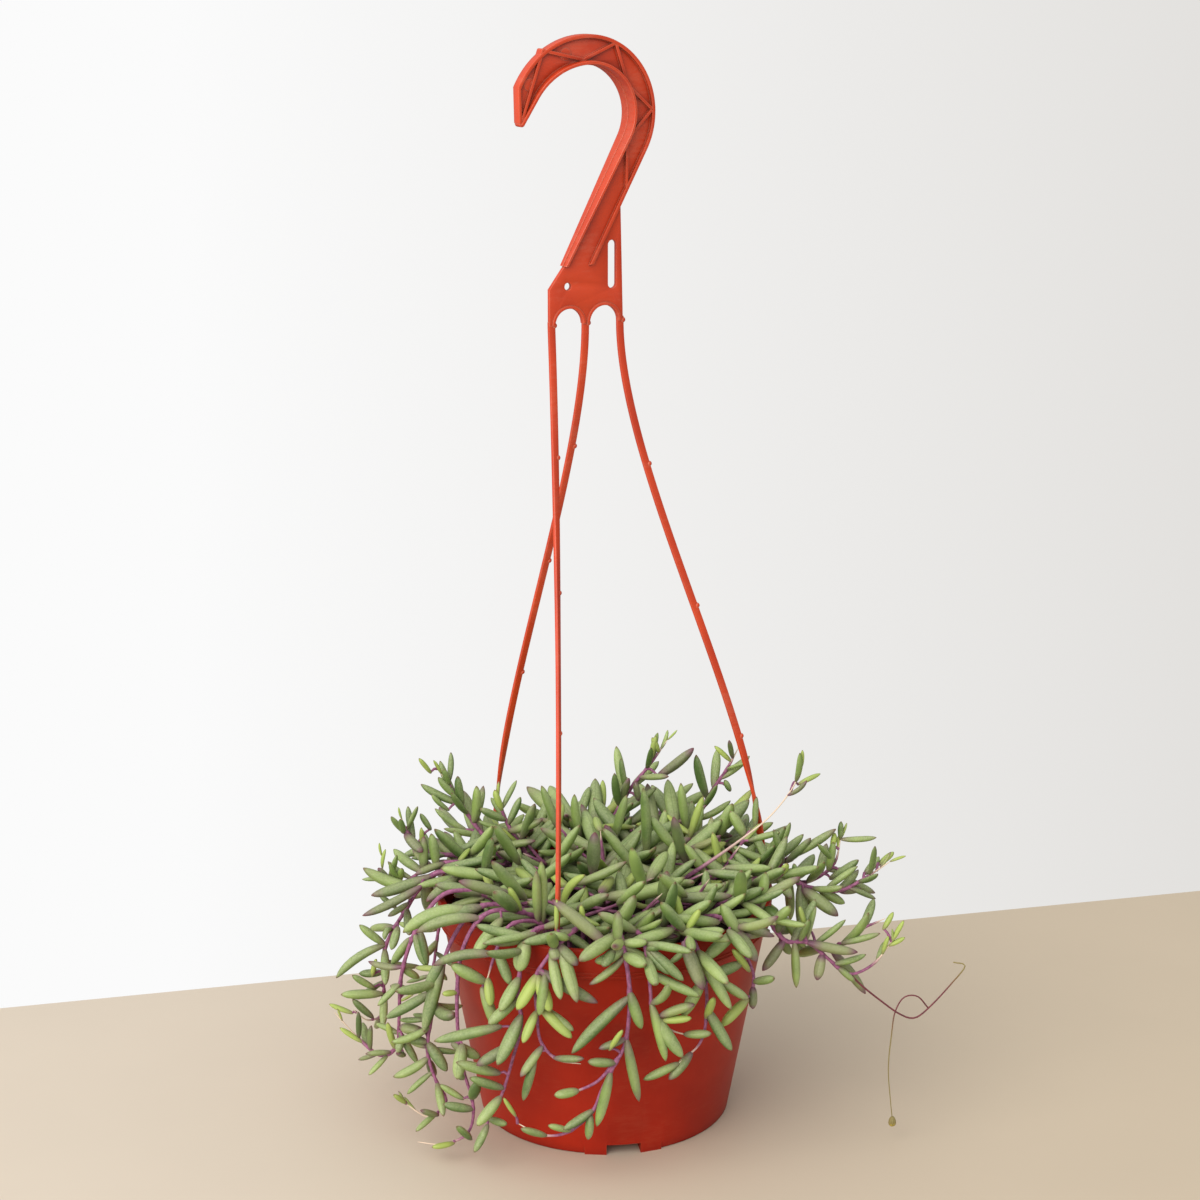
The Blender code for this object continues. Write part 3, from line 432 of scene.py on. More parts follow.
def add_node(material: Material | World, kind: str, settings: dict | None = None,
        links: dict | None = None) -> Node:
    """Add a shader node with its settings and its incoming links.

    Args:
        material: the material or world that the node goes into.
        kind: the node's type, without the leading ShaderNode.
        settings: values by name. A name of an input sets that input, "stops" sets a colour
            ramp from (place, hex code) pairs, and any other name sets a property.
        links: output sockets, or nodes for their first output, by the name or number of the
            input that they feed.

    Returns:
        The new node.
    """
    tree = material.node_tree
    node = tree.nodes.new(f"ShaderNode{kind}")
    for name, value in (settings or {}).items():
        if name == "stops":
            ramp = node.color_ramp
            while len(ramp.elements) < len(value):
                ramp.elements.new(0.5)
            for element, (place, code) in zip(ramp.elements, value):
                element.position = place
                element.color = linear(code)
        elif isinstance(name, int) or name in node.inputs:
            is_code = isinstance(value, str)
            node.inputs[name].default_value = linear(value) if is_code else value
        else:
            setattr(node, name, value)
    for name, source in (links or {}).items():
        socket = source if isinstance(source, NodeSocket) else source.outputs[0]
        tree.links.new(socket, node.inputs[name])
    return node


def new_material(name: str) -> tuple[Material, Adder, NodeSocket]:
    """Start a material with no nodes of its own.

    Args:
        name: the material's name.

    Returns:
        The material, the call that adds its nodes, and the place on the object.
    """
    material = bpy.data.materials.new(name)
    material.use_nodes = True
    material.node_tree.nodes.clear()
    add = partial(add_node, material)
    return material, add, add("TexCoord").outputs["Object"]


def closed(material: Material, surface: Node) -> Material:
    """Wire the last shader of a material to its output, and return the material."""
    add_node(material, "OutputMaterial", links={"Surface": surface})
    return material


@dataclass(frozen=True)
class MouldedPlastic:
    """Injection-moulded polypropylene: coloured through, satin, with soft flow mottling.

    Handling leaves pale scuffs, which dull the gloss in patches. The inner corners get a painted
    shade and the edges a painted pale highlight.
    """

    name: str
    colour: str
    shade: str
    # Colour of the pale scuffs, also used for the painted highlight on the edges.
    scuff_and_highlight: str
    roughness: float = 0.42
    scuff_amount: float = 0.15
    # The next two set how strong the painted shade in inner corners and the painted pale highlight
    # on edges are; corner_mm and edge_mm below set their sizes.
    corner: float = 0.45
    rub_and_edge_highlight: float = 0.3
    gleam: float = 0.5
    flow_mm: float = 34.0
    scuff_mm: float = 5.0
    grain_mm: float = 0.6
    corner_mm: float = 5.0
    edge_mm: float = 0.5

    def wear_and_painted_light(self, add: Adder, body: Node) -> Node:
        """Return the colour with painted shade in the inner corners and a painted pale highlight on
        the edges.

        Args:
            add: adds a node to the material.
            body: the colour before the painted shade and highlight.

        Returns:
            The node that gives the colour.
        """
        # Painted shade: ambient occlusion darkens the colour in inner corners and recesses.
        open_air = add("AmbientOcclusion", {"samples": 6, "Distance": self.corner_mm * MM})
        painted_corner_shade = add("MapRange", {"From Min": 0.35, "From Max": 0.9,
            "To Min": self.corner, "To Max": 0.0}, {"Value": open_air.outputs["AO"]})
        dark = add("MixRGB", {"blend_type": "MULTIPLY", "Color2": "#7A4A42"},
            {"Fac": painted_corner_shade, "Color1": body})
        # Painted highlight: a pale line on every rounded edge, where the bevelled normal turns from
        # the flat one.
        rounded = add("Bevel", {"samples": 4, "Radius": self.edge_mm * MM})
        flat = add("NewGeometry")
        near = add("VectorMath", {"operation": "DOT_PRODUCT"},
            {0: rounded, 1: flat.outputs["Normal"]})
        painted_edge_highlight = add("MapRange", {"From Min": 0.99, "From Max": 0.86,
            "To Max": self.rub_and_edge_highlight}, {"Value": near.outputs["Value"]})
        return add("MixRGB", {"Color2": self.scuff_and_highlight}, {"Fac": painted_edge_highlight, "Color1": dark})

    def material(self) -> Material:
        """Make the material: flow mottling, scuffs, uneven gloss and a faint mould grain.

        Returns:
            The new material.
        """
        made, add, place = new_material(self.name)
        flow = add("TexNoise", {"Scale": per_metre(self.flow_mm), "Detail": 3.0}, {"Vector": place})
        flow_share = add("MapRange", {"From Min": 0.35, "From Max": 0.65}, {"Value": flow})
        body = add("MixRGB", {"Color1": self.colour, "Color2": self.shade}, {"Fac": flow_share})
        squeezed = add("Mapping", {"Scale": (1.0, 1.0, 3.2),
            "Rotation": (0.4, 0.2, 0.0)}, {"Vector": place})
        rub_and_edge_highlight = add("TexNoise", {"Scale": per_metre(self.scuff_mm), "Detail": 8.0,
            "Roughness": 0.72}, {"Vector": squeezed})
        patch = add("TexNoise", {"Scale": per_metre(4.0 * self.scuff_mm), "Detail": 2.0},
            {"Vector": place})
        wear_and_painted_light = add("Math", {"operation": "MULTIPLY"}, {0: rub_and_edge_highlight, 1: patch})
        worn_share = add("MapRange", {"From Min": 0.27, "From Max": 0.4,
            "To Max": self.scuff_amount}, {"Value": wear_and_painted_light})
        colour = add("MixRGB", {"Color2": self.scuff_and_highlight}, {"Fac": worn_share,
            "Color1": self.wear_and_painted_light(add, body)})
        gloss = add("MapRange", {"To Min": self.roughness - 0.05,
            "To Max": self.roughness + 0.16}, {"Value": patch})
        grain = add("TexNoise", {"Scale": per_metre(self.grain_mm), "Detail": 2.0},
            {"Vector": place})
        bump = add("Bump", {"Strength": 0.06, "Distance": 0.1 * MM}, {"Height": grain})
        shader = add("BsdfPrincipled", {"IOR": 1.49, "Specular IOR Level": self.gleam},
            {"Base Color": colour, "Roughness": gloss, "Normal": bump})
        return closed(made, shader)


@dataclass(frozen=True)
class DampPeat:
    """Damp peat compost: nearly black crumbs with rough fibres and no gloss."""

    dark: str = "#1E1510"
    light: str = "#4A3628"
    crumb_mm: float = 1.8

    def material(self) -> Material:
        """Make the material: crumbs in two browns with a strong crumbly bump.

        Returns:
            The new material.
        """
        made, add, place = new_material("damp_peat")
        crumbs = add("TexVoronoi", {"Scale": per_metre(self.crumb_mm)}, {"Vector": place})
        fibres = add("TexNoise", {"Scale": per_metre(0.7 * self.crumb_mm), "Detail": 6.0,
            "Roughness": 0.7}, {"Vector": place})
        mixed = add("Math", {"operation": "MULTIPLY"}, {0: crumbs, 1: fibres})
        colour = add("ValToRGB", {"stops": ((0.1, self.dark), (0.6, self.light))}, {"Fac": mixed})
        bump = add("Bump", {"Strength": 0.8, "Distance": 0.8 * MM}, {"Height": mixed})
        shader = add("BsdfPrincipled", {"Roughness": 0.92}, {"Base Color": colour, "Normal": bump})
        return closed(made, shader)


@dataclass(frozen=True)
class LeafSkin:
    """Succulent leaf skin: a smooth cuticle over watery flesh, satin under a dusty wax bloom.

    New leaves are lime, old ones grey-green; the foot and the point of a leaf turn purple.
    """

    grown: str = "#93AB5E"
    deep: str = "#526C38"
    # Colour of the wax bloom, also the painted highlight on the leaf's upper side.
    bloom_and_highlight: str = "#C6D3A0"
    new: str = "#AABD62"
    blush: str = "#7A5566"
    point: str = "#6B3F35"
    mottle_mm: float = 8.0
    bloom_mm: float = 0.9
    pore_mm: float = 0.4

    def green(self, add: Adder, place: NodeSocket, read: dict[str, NodeSocket]) -> Node:
        """Return the green flesh under a wax bloom painted stronger on the upper side, partly as a
        painted highlight from above.

        Args:
            add: adds a node to the material.
            place: the place on the leaf.
            read: the leaf's own values, by name.

        Returns:
            The node that gives the colour.
        """
        mottle = add("TexNoise", {"Scale": per_metre(self.mottle_mm), "Detail": 3.0},
            {"Vector": place})
        shade = add("Math", {"operation": "MULTIPLY_ADD", 1: 0.8}, {0: read["tone"], 2: mottle})
        shade_share = add("MapRange", {"From Min": 0.4, "From Max": 1.25}, {"Value": shade})
        flesh = add("MixRGB", {"Color1": self.grown, "Color2": self.deep}, {"Fac": shade_share})
        wax = add("TexNoise", {"Scale": per_metre(self.bloom_mm), "Detail": 6.0,
            "Roughness": 0.7}, {"Vector": place})
        # Wax bloom weighted to the upper side: partly real bloom, partly a painted highlight where
        # light falls on the leaf's top.
        bloom_and_top_light = add("Math", {"operation": "MULTIPLY"}, {0: wax, 1: read["crest"]})
        bloom_and_top_light_share = add("MapRange", {"From Min": 0.14, "From Max": 0.6, "To Max": 0.5},
            {"Value": bloom_and_top_light})
        bloomed_and_top_lit = add("MixRGB", {"Color2": self.bloom_and_highlight}, {"Fac": bloom_and_top_light_share, "Color1": flesh})
        aged = add("MixRGB", {"Color2": self.new}, {"Fac": read["youth"], "Color1": bloomed_and_top_lit})
        seam = add("MapRange", {"From Min": 0.985, "From Max": 0.997,
            "To Max": 0.35}, {"Value": read["crest"]})
        return add("MixRGB", {"Color2": self.deep}, {"Fac": seam, "Color1": aged})

    def purple(self, add: Adder, read: dict[str, NodeSocket]) -> Node:
        """Return how purple the skin is: at the foot, and all over on a blushed leaf.

        A leaf that blushes even a little has a purple point too.

        Args:
            add: adds a node to the material.
            read: the leaf's own values, by name.

        Returns:
            The node that gives the share of purple.
        """
        foot = add("MapRange", {"From Min": 0.34, "From Max": 0.0}, {"Value": read["along"]})
        depth = add("MapRange", {"To Min": 0.55, "To Max": 1.0}, {"Value": read["blush"]})
        at_foot = add("Math", {"operation": "MULTIPLY"}, {0: foot, 1: depth})
        point = add("MapRange", {"From Min": 0.78, "From Max": 0.98}, {"Value": read["along"]})
        touched = add("MapRange", {"From Max": 0.45, "To Max": 0.75}, {"Value": read["blush"]})
        at_ends = add("Math", {"operation": "MULTIPLY_ADD"}, {0: point, 1: touched, 2: at_foot})
        return add("Math", {"operation": "MULTIPLY_ADD", 1: 0.35, "use_clamp": True},
            {0: read["blush"], 2: at_ends})

    def material(self) -> Material:
        """Make the material from each leaf's own tone, youth and blush.

        Returns:
            The new material.
        """
        made, add, place = new_material("waxy_leaf_skin")
        read = {name: add("Attribute", {"attribute_name": name}).outputs["Fac"]
            for name in Skin.VALUES}
        flushed = add("MixRGB", {"Color2": self.blush},
            {"Fac": self.purple(add, read), "Color1": self.green(add, place, read)})
        tip = add("MapRange", {"From Min": 0.94, "From Max": 0.995, "To Max": 0.8},
            {"Value": read["along"]})
        colour = add("MixRGB", {"Color2": self.point}, {"Fac": tip, "Color1": flushed})
        pores = add("TexNoise", {"Scale": per_metre(self.pore_mm), "Detail": 2.0},
            {"Vector": place})
        gloss = add("MapRange", {"From Min": 0.3, "From Max": 0.7, "To Min": 0.32,
            "To Max": 0.52}, {"Value": pores})
        bump = add("Bump", {"Strength": 0.15, "Distance": 0.1 * MM}, {"Height": pores})
        shader = add("BsdfPrincipled", {"IOR": 1.42, "Subsurface Weight": 0.1,
            "Subsurface Scale": 1.0 * MM, "Subsurface Radius": (0.6, 1.0, 0.3)},
            {"Base Color": colour, "Roughness": gloss, "Normal": bump})
        return closed(made, shader)


@dataclass(frozen=True)
class StemSkin:
    """Smooth succulent stem: ruby purple with pale, pinkish new growth at its tip."""

    name: str = "ruby_stem_skin"
    ruby: str = "#A4648A"
    dark: str = "#7A4868"
    new: str = "#E4CFBA"
    streak_mm: float = 1.6

    def material(self) -> Material:
        """Make the material: purple with darker lengthwise streaks, paler where it is new.

        Returns:
            The new material.
        """
        made, add, place = new_material(self.name)
        youth = add("Attribute", {"attribute_name": "youth"}).outputs["Fac"]
        streak = add("TexNoise", {"Scale": per_metre(self.streak_mm), "Detail": 4.0,
            "Roughness": 0.6}, {"Vector": place})
        streak_share = add("MapRange", {"From Min": 0.4, "From Max": 0.65}, {"Value": streak})
        grown = add("MixRGB", {"Color1": self.ruby, "Color2": self.dark}, {"Fac": streak_share})
        colour = add("MixRGB", {"Color2": self.new}, {"Fac": youth, "Color1": grown})
        bump = add("Bump", {"Strength": 0.2, "Distance": 0.15 * MM}, {"Height": streak})
        shader = add("BsdfPrincipled", {"Roughness": 0.48, "IOR": 1.42},
            {"Base Color": colour, "Normal": bump})
        return closed(made, shader)


# ---- Pot ----

@dataclass
class Pot:
    """The thin moulded pot: a draught-sided cup with a rolled rim and three drainage pockets."""

    height: float = 96.5 * MM
    rim_radius: float = 70.0 * MM
    rim_width: float = 2.4 * MM
    band_height: float = 12.5 * MM
    band_draft: float = 0.7 * MM
    shoulder_radius: float = 67.6 * MM
    base_radius: float = 52.5 * MM
    wall: float = 1.3 * MM
    floor: float = 1.4 * MM
    round_steps: int = 168
    bead: float = 0.3 * MM
    bead_spacing: float = 1.5 * MM
    pocket_angles: tuple[float, ...] = (8.4, 128.4, 248.4)
    pocket_width: float = 14.0 * MM
    pocket_height: float = 4.4 * MM
    pocket_roof: float = 1.4 * MM
    pocket_inner_radius: float = 37.0 * MM
    pad_width: float = 9.0 * MM
    pad_depth: float = 2.2 * MM
    pad_proud: float = 0.4 * MM
    drain_radius: float = 3.0 * MM
    drain_circle: float = 44.0 * MM

    @property
    def band_foot(self) -> float:
        """Height of the step under the band."""
        return self.height - self.band_height

    def wall_radius(self, height: float) -> float:
        """Outer radius of the wall below the band."""
        spread = self.shoulder_radius - self.base_radius
        return self.base_radius + spread * height / self.band_foot

    def band_radius(self, height: float) -> float:
        """Outer radius of the band, which narrows a little downwards."""
        return self.rim_radius - self.band_draft * (self.height - height) / self.band_height

    def profile(self) -> list[Pair]:
        """Return the section, from the inside floor round to the axis.

        Returns:
            Pairs of radius and height.
        """
        inside = self.rim_radius - self.rim_width
        foot = self.band_foot
        heel = 2.4 * MM
        lip = 0.5 * MM
        brim = 0.7 * MM
        points = [(0.0, self.floor), (self.base_radius - self.wall - heel, self.floor)]
        points += arc((self.base_radius - self.wall - 2.2 * MM, self.floor + heel), heel,
            -0.5 * pi, 0.0, 6)[1:]
        points += [(self.shoulder_radius - self.wall, foot), (inside, foot + 3.0 * MM)]
        points += arc((inside + lip, self.height - lip), lip, pi, 0.5 * pi, 4)
        points += arc((self.rim_radius - brim, self.height - brim), brim, 0.5 * pi, 0.0, 6)
        for step in (1, 0):
            middle = foot + (0.7 + step) * self.bead_spacing
            points += arc((self.band_radius(middle), middle), self.bead, 0.5 * pi, -0.5 * pi, 6)
        corner = 0.35 * MM
        points += arc((self.band_radius(foot) - corner, foot + corner), corner, 0.0, -0.5 * pi, 4)
        points += arc((self.shoulder_radius + lip, foot - lip), lip, 0.5 * pi, pi, 4)
        base = 0.9 * MM
        points += arc((self.base_radius - base, base), base, 0.0, -0.5 * pi, 5)
        return points + [(0.0, 0.0)]

    def shell(self) -> Mesh:
        """Turn the profile about the axis.

        Returns:
            The closed shell, with no pockets yet.
        """
        bm = bmesh.new()
        outline = [bm.verts.new((radius, 0.0, height)) for radius, height in self.profile()]
        edges = [bm.edges.new(pair) for pair in zip(outline, outline[1:])]
        bmesh.ops.spin(bm, geom=outline + edges, angle=2.0 * pi, steps=self.round_steps,
            axis=(0.0, 0.0, 1.0), cent=(0.0, 0.0, 0.0), use_merge=True)
        bmesh.ops.remove_doubles(bm, verts=bm.verts, dist=0.004 * MM)
        bmesh.ops.recalc_face_normals(bm, faces=bm.faces)
        return mesh_from(bm, "pot")

    @staticmethod
    def block(size: Sequence[float], place: Matrix) -> Object:
        """Make a box that is joined to the shell or cut from it."""
        return link("block", mesh_from(box(size, place), "block"))

    def pocket_roofs(self, angle: float) -> list[Object]:
        """Make a pocket's raised channel inside the pot and the two plain panels by its mouth.

        Args:
            angle: the pocket's angle round the pot, in degrees.

        Returns:
            The boxes to join to the shell.
        """
        turn = facing(angle)
        inset = 0.5 * MM
        outer = self.base_radius - inset
        length = outer - self.pocket_inner_radius
        height = self.pocket_height + self.pocket_roof - inset
        middle = (outer + self.pocket_inner_radius) / 2.0
        pieces = [self.block((length, self.pocket_width + 2.0 * self.pocket_roof, height),
            turn @ Matrix.Translation((middle, 0.0, inset + height / 2.0)))]
        for side in (-1.0, 1.0):
            offset = side * (self.pocket_width + self.pad_width) / 2.0
            panel_turn = facing(angle + degrees(offset / self.base_radius))
            reach = self.base_radius + self.pad_proud - self.pad_depth / 2.0
            pieces.append(self.block((self.pad_depth, self.pad_width, self.pocket_height),
                panel_turn @ Matrix.Translation((reach, 0.0, self.pocket_height / 2.0))))
        return pieces

    def pocket_cuts(self, angle: float) -> list[Object]:
        """Make what is cut out for a pocket: its mouth and the drain hole in its roof.

        Args:
            angle: the pocket's angle round the pot, in degrees.

        Returns:
            The solids to cut from the shell.
        """
        turn = facing(angle)
        inner = self.pocket_inner_radius + self.pocket_roof
        outer = self.base_radius + 6.0 * MM
        mouth = self.block((outer - inner, self.pocket_width, 2.0 * self.pocket_height),
            turn @ Matrix.Translation(((inner + outer) / 2.0, 0.0, 0.0)))
        ring = circle((self.drain_circle, 0.0), self.drain_radius, 32)
        drain = link_smooth("drain", flat_moulding((ring,), 8.0 * MM, 0.2 * MM,
            turn @ Matrix.Translation((0.0, 0.0, self.pocket_height))))
        return [mouth, drain]

    def build(self, finish: MouldedPlastic) -> Object:
        """Turn the shell, then join the pockets' roofs and cut their mouths and drains.

        Args:
            finish: the plastic of the pot.

        Returns:
            The pot's object.
        """
        pot = link_smooth("pot_shell", self.shell())
        for operation, maker in (("UNION", self.pocket_roofs), ("DIFFERENCE", self.pocket_cuts)):
            for tool in (tool for angle in self.pocket_angles for tool in maker(angle)):
                step = pot.modifiers.new("step", "BOOLEAN")
                step.operation = operation
                step.solver = "EXACT"
                step.object = tool
                mesh = bpy.data.meshes.new_from_object(
                    pot.evaluated_get(bpy.context.evaluated_depsgraph_get()))
                pot.modifiers.clear()
                pot.data = mesh
                bpy.data.objects.remove(tool)
        mesh = mesh_from(merged(mesh_of(pot), 0.003 * MM), "pot")
        mesh.materials.append(finish.material())
        item = link_smooth("nursery_pot", mesh, sharp=30.0)
        return hand_over(item, "pot")


# ---- Soil ----

@dataclass
class Soil:
    """The plug of damp peat compost that fills the pot, crumbly on top."""

    edge: float = 85.0 * MM
    crown: float = 2.5 * MM
    radius: float = 65.6 * MM
    bottom: float = 6.2 * MM
    clearance: float = 1.8 * MM
    lump: float = 0.9 * MM
    lump_mm: float = 4.0
    sink: float = 0.4
    fading_rings: float = 3.0
    shoulder: float = 2.5 * MM
    ring_count: int = 46
    sides: int = 150

    def level(self, radius: float) -> float:
        """Height of the surface at a distance from the axis."""
        return self.edge + self.crown * (1.0 - min(1.0, radius / self.radius) ** 2)

    def build(self, pot: Pot, finish: DampPeat) -> Object:
        """Make the crumbly surface and the smooth plug under it as one closed shell.

        Args:
            pot: the pot that it fills.
            finish: the look of the peat.

        Returns:
            The soil's object.
        """
        rings = []
        for step in range(1, self.ring_count + 1):
            radius = self.radius * step / self.ring_count
            points = []
            for side in range(self.sides):
                point = around(360.0 * side / self.sides, radius, self.level(radius))
                rough = noise.fractal(point * per_metre(self.lump_mm), 0.6, 2.2, 4)
                fade = ease((self.ring_count - step) / self.fading_rings)
                point.z += self.lump * (rough * fade - self.sink)
                points.append(point)
            rings.append(points)
        for height in (self.edge - self.shoulder, self.bottom):
            radius = pot.wall_radius(height) - self.clearance
            rings.append([around(360.0 * side / self.sides, radius, height)
                for side in range(self.sides)])
        skin = Skin()
        skin.add_rings(np.array(rings))
        item = skin.build("peat_compost", [finish.material()])
        return hand_over(item, "potting_soil")


# ---- Hanger ----

@dataclass(frozen=True)
class Strap:
    """One strap: its place on the plate in mm and on the rim in degrees, twist, bow and nubs."""

    across: float
    foot_angle: float
    twist: float
    twist_start: float = 0.72
    twist_end: float = 1.0
    bow: float = 0.0
    nub_spacing: float = 51.0 * MM


@dataclass
class Hanger:
    """The one-piece hanger: a ribbed hook, its plate and three straps with clips.

    The hook and plate are a flat moulding whose own X runs across the plate and Y runs up. The
    inner flange's widths, by share of its length, and the ribs' corners are in mm.
    """

    pot: Pot
    yaw: float = radians(30.0)
    foot: Vector = field(default_factory=lambda: Vector((-7.5 * MM, 0.0, 0.0)))
    hook_centre: Pair = (0.0, 414.0 * MM)
    outer_radius: float = 30.2 * MM
    inner_radius: float = 18.9 * MM
    nose_outer_radius: float = 34.0 * MM
    nose_inner_radius: float = 26.0 * MM
    nose_outer_end: float = radians(154.0)
    nose_inner_end: float = radians(147.0)
    shank_angle: float = radians(-29.0)
    shank_end: float = 356.0 * MM
    web: float = 1.9 * MM
    flange: float = 1.5 * MM
    outer_flange_width: float = 4.6 * MM
    inner_flange_widths: Sequence[Pair] = ((0.0, 5.1), (0.17, 7.1), (0.3, 9.2), (0.45, 10.2),
        (0.58, 11.3), (0.72, 11.5), (0.86, 8.0), (1.0, 5.0))
    ridge_width: float = 0.9 * MM
    ridge_height: float = 0.35 * MM
    rib: float = 1.3 * MM
    rib_width: float = 4.3 * MM
    rib_corners: Sequence[Pair] = ((-28.9, 412.4), (-19.6, 438.6), (-2.0, 434.6), (12.4, 440.6),
        (17.8, 424.4), (28.9, 414.9), (17.4, 403.6), (17.4, 385.6))
    plate_left: float = -16.8 * MM
    plate_right: float = 16.4 * MM
    plate_bottom: float = 333.0 * MM
    plate_shoulder: float = 347.2 * MM
    plate_corner: Pair = (15.2 * MM, 379.4 * MM)
    arch_centres: Pair = (-8.1 * MM, 7.75 * MM)
    arch_radii: Pair = (6.3 * MM, 6.6 * MM)
    arch_lip: float = 1.2 * MM
    arch_lip_thickness: float = 2.8 * MM
    slot_centre: Pair = (11.4 * MM, 355.5 * MM)
    slot_size: Pair = (3.7 * MM, 19.0 * MM)
    hole_centre: Pair = (-8.6 * MM, 348.0 * MM)
    hole_radius: float = 1.45 * MM
    nose_tip: Pair = (-28.9 * MM, 411.4 * MM)
    nose_tip_radius: float = 1.2 * MM
    ejector_centres: tuple[Pair, Pair] = ((-9.5 * MM, 437.0 * MM), (-25.4 * MM, 426.0 * MM))
    ejector_radius: float = 2.3 * MM
    ejector_proud: float = 0.4 * MM
    straps: Sequence[Strap] = (Strap(-15.6, -16.0, twist=44.0, twist_start=0.05, twist_end=0.6,
        bow=2.0 * MM), Strap(-0.35, -136.0, twist=104.0), Strap(15.4, 104.0, twist=164.0,
        nub_spacing=59.0 * MM))
    strap_width: float = 3.1 * MM
    strap_thickness: float = 1.6 * MM
    strap_handle: float = 62.0 * MM
    strap_sections: int = 90
    strap_overlap: float = 1.5 * MM
    nub_radius: float = 1.15 * MM
    nub_count: int = 4
    clip_width: float = 3.4 * MM
    clip_leg: float = 1.5 * MM
    clip_top: float = 1.7 * MM
    clip_outer_drop: float = 7.0 * MM
    clip_inner_drop: float = 5.0 * MM
    clip_air: float = 0.4 * MM
    edge: float = 0.28 * MM
    soft_edge: float = 0.3 * MM

    @property
    def stand(self) -> Matrix:
        """Stand the flat moulding up, swung about the vertical.

        Returns:
            Where the moulding's own frame stands.
        """
        across = Vector((cos(self.yaw), sin(self.yaw), 0.0))
        front = Vector((sin(self.yaw), -cos(self.yaw), 0.0))
        upright = Matrix((across, UP, front)).transposed().to_4x4()
        return Matrix.Translation(self.foot) @ upright

    def hook_path(self, radius: float, nose_radius: float, nose_end: float, nose_drop: Pair,
            inset: float) -> list[Pair]:
        """Return one edge of the hook, from the foot of its shank over the top to its nose.

        Args:
            radius: radius of the round part.
            nose_radius: radius of the wider arc that opens towards the nose.
            nose_end: angle where that arc ends.
            nose_drop: the last straight run, across and up.
            inset: how far the edge is moved towards the hook's centre.

        Returns:
            The points of the edge.
        """
        throat = arc(self.hook_centre, radius - inset, self.shank_angle, pi / 2.0, 40)
        run = (throat[0][1] - self.shank_end) * tan(-self.shank_angle)
        points = [(throat[0][0] - run, self.shank_end), *throat]
        nose_centre = (self.hook_centre[0], self.hook_centre[1] + radius - nose_radius)
        points += arc(nose_centre, nose_radius - inset, pi / 2.0, nose_end, 22)[1:]
        last = points[-1]
        points.append((last[0] + nose_drop[0], last[1] + nose_drop[1]))
        return points

    def outer_path(self, inset: float) -> list[Pair]:
        """Outer edge of the hook, moved inwards by an inset."""
        return self.hook_path(self.outer_radius, self.nose_outer_radius, self.nose_outer_end,
            (0.3 * MM, -13.4 * MM), inset)

    def inner_path(self, outset: float) -> list[Pair]:
        """Inner edge of the hook, moved outwards into the section."""
        return self.hook_path(self.inner_radius, self.nose_inner_radius, self.nose_inner_end,
            (-6.4 * MM, -10.6 * MM), -outset)

    def web_plate(self) -> Mesh:
        """Make the plate and the hook's web in one, with the slot, the hole and the arches.

        Returns:
            The closed plate.
        """
        rim = self.outer_path(0.4 * MM)[1:] + self.inner_path(0.4 * MM)[::-1]
        outline = [(self.plate_left, self.plate_bottom)]
        for centre, radius in zip(self.arch_centres, self.arch_radii):
            outline += arc((centre, self.plate_bottom), radius, pi, 0.0, 25)
        outline += [(self.plate_right, self.plate_bottom), self.plate_corner, *rim,
            (self.plate_left, self.plate_shoulder)]
        half = self.slot_size[0] / 2.0
        straight = self.slot_size[1] / 2.0 - half
        middle, level = self.slot_centre
        slot = arc((middle, level + straight), half, 0.0, pi, 15)
        slot += arc((middle, level - straight), half, pi, 2.0 * pi, 15)
        hole = circle(self.hole_centre, self.hole_radius, 24)
        return flat_moulding((outline, slot, hole), self.web, self.edge, self.stand)

    def flange_width(self, share: float) -> float:
        """Full width of the inner flange at a share of its length from the shank's foot."""
        shares, widths = zip(*self.inner_flange_widths)
        return float(np.interp(share, shares, widths)) * MM

    def inner_flange(self, skin: Skin) -> None:
        """Add the inner flange, which widens over the hook's top, with its middle ridge.

        Args:
            skin: gathers the shells.
        """
        stand = self.stand
        near = [Vector((*point, 0.0)) for point in self.inner_path(0.0)]
        far = [Vector((*point, 0.0)) for point in self.inner_path(self.flange)]
        lengths = lengths_along(near)
        flange_rings = []
        ridge_rings = []
        sideways = stand.to_3x3() @ UP
        for inside, outside, length in zip(near, far, lengths):
            half = self.flange_width(length / lengths[-1]) / 2.0
            outwards = (stand.to_3x3() @ (outside - inside)).normalized()
            flange_rings.append(soft_box_ring(stand @ ((inside + outside) / 2.0), sideways,
                outwards, (half, self.flange / 2.0), sides=20, squareness=0.32))
            ridge_rings.append(soft_box_ring(stand @ inside, sideways, outwards,
                (self.ridge_width / 2.0, self.ridge_height), sides=10, squareness=0.8))
        skin.add_rings(np.array(flange_rings))
        skin.add_rings(np.array(ridge_rings))

    def ribs(self) -> list[Mesh]:
        """Make the zigzag ribs between the two flanges, proud of the web on both faces.

        Returns:
            One mesh for each rib.
        """
        made = []
        for start, end in zip(self.rib_corners, self.rib_corners[1:]):
            start = Vector((start[0] * MM, start[1] * MM, 0.0))
            end = Vector((end[0] * MM, end[1] * MM, 0.0))
            along = end - start
            turn = Matrix.Rotation(atan2(along.y, along.x), 4, "Z")
            reach = along.length / 2.0 + 0.3 * MM
            side = self.rib / 2.0
            outline = ((-reach, -side), (reach, -side), (reach, side), (-reach, side))
            made.append(flat_moulding((outline,), self.rib_width, self.soft_edge,
                self.stand @ Matrix.Translation((start + end) / 2.0) @ turn))
        return made

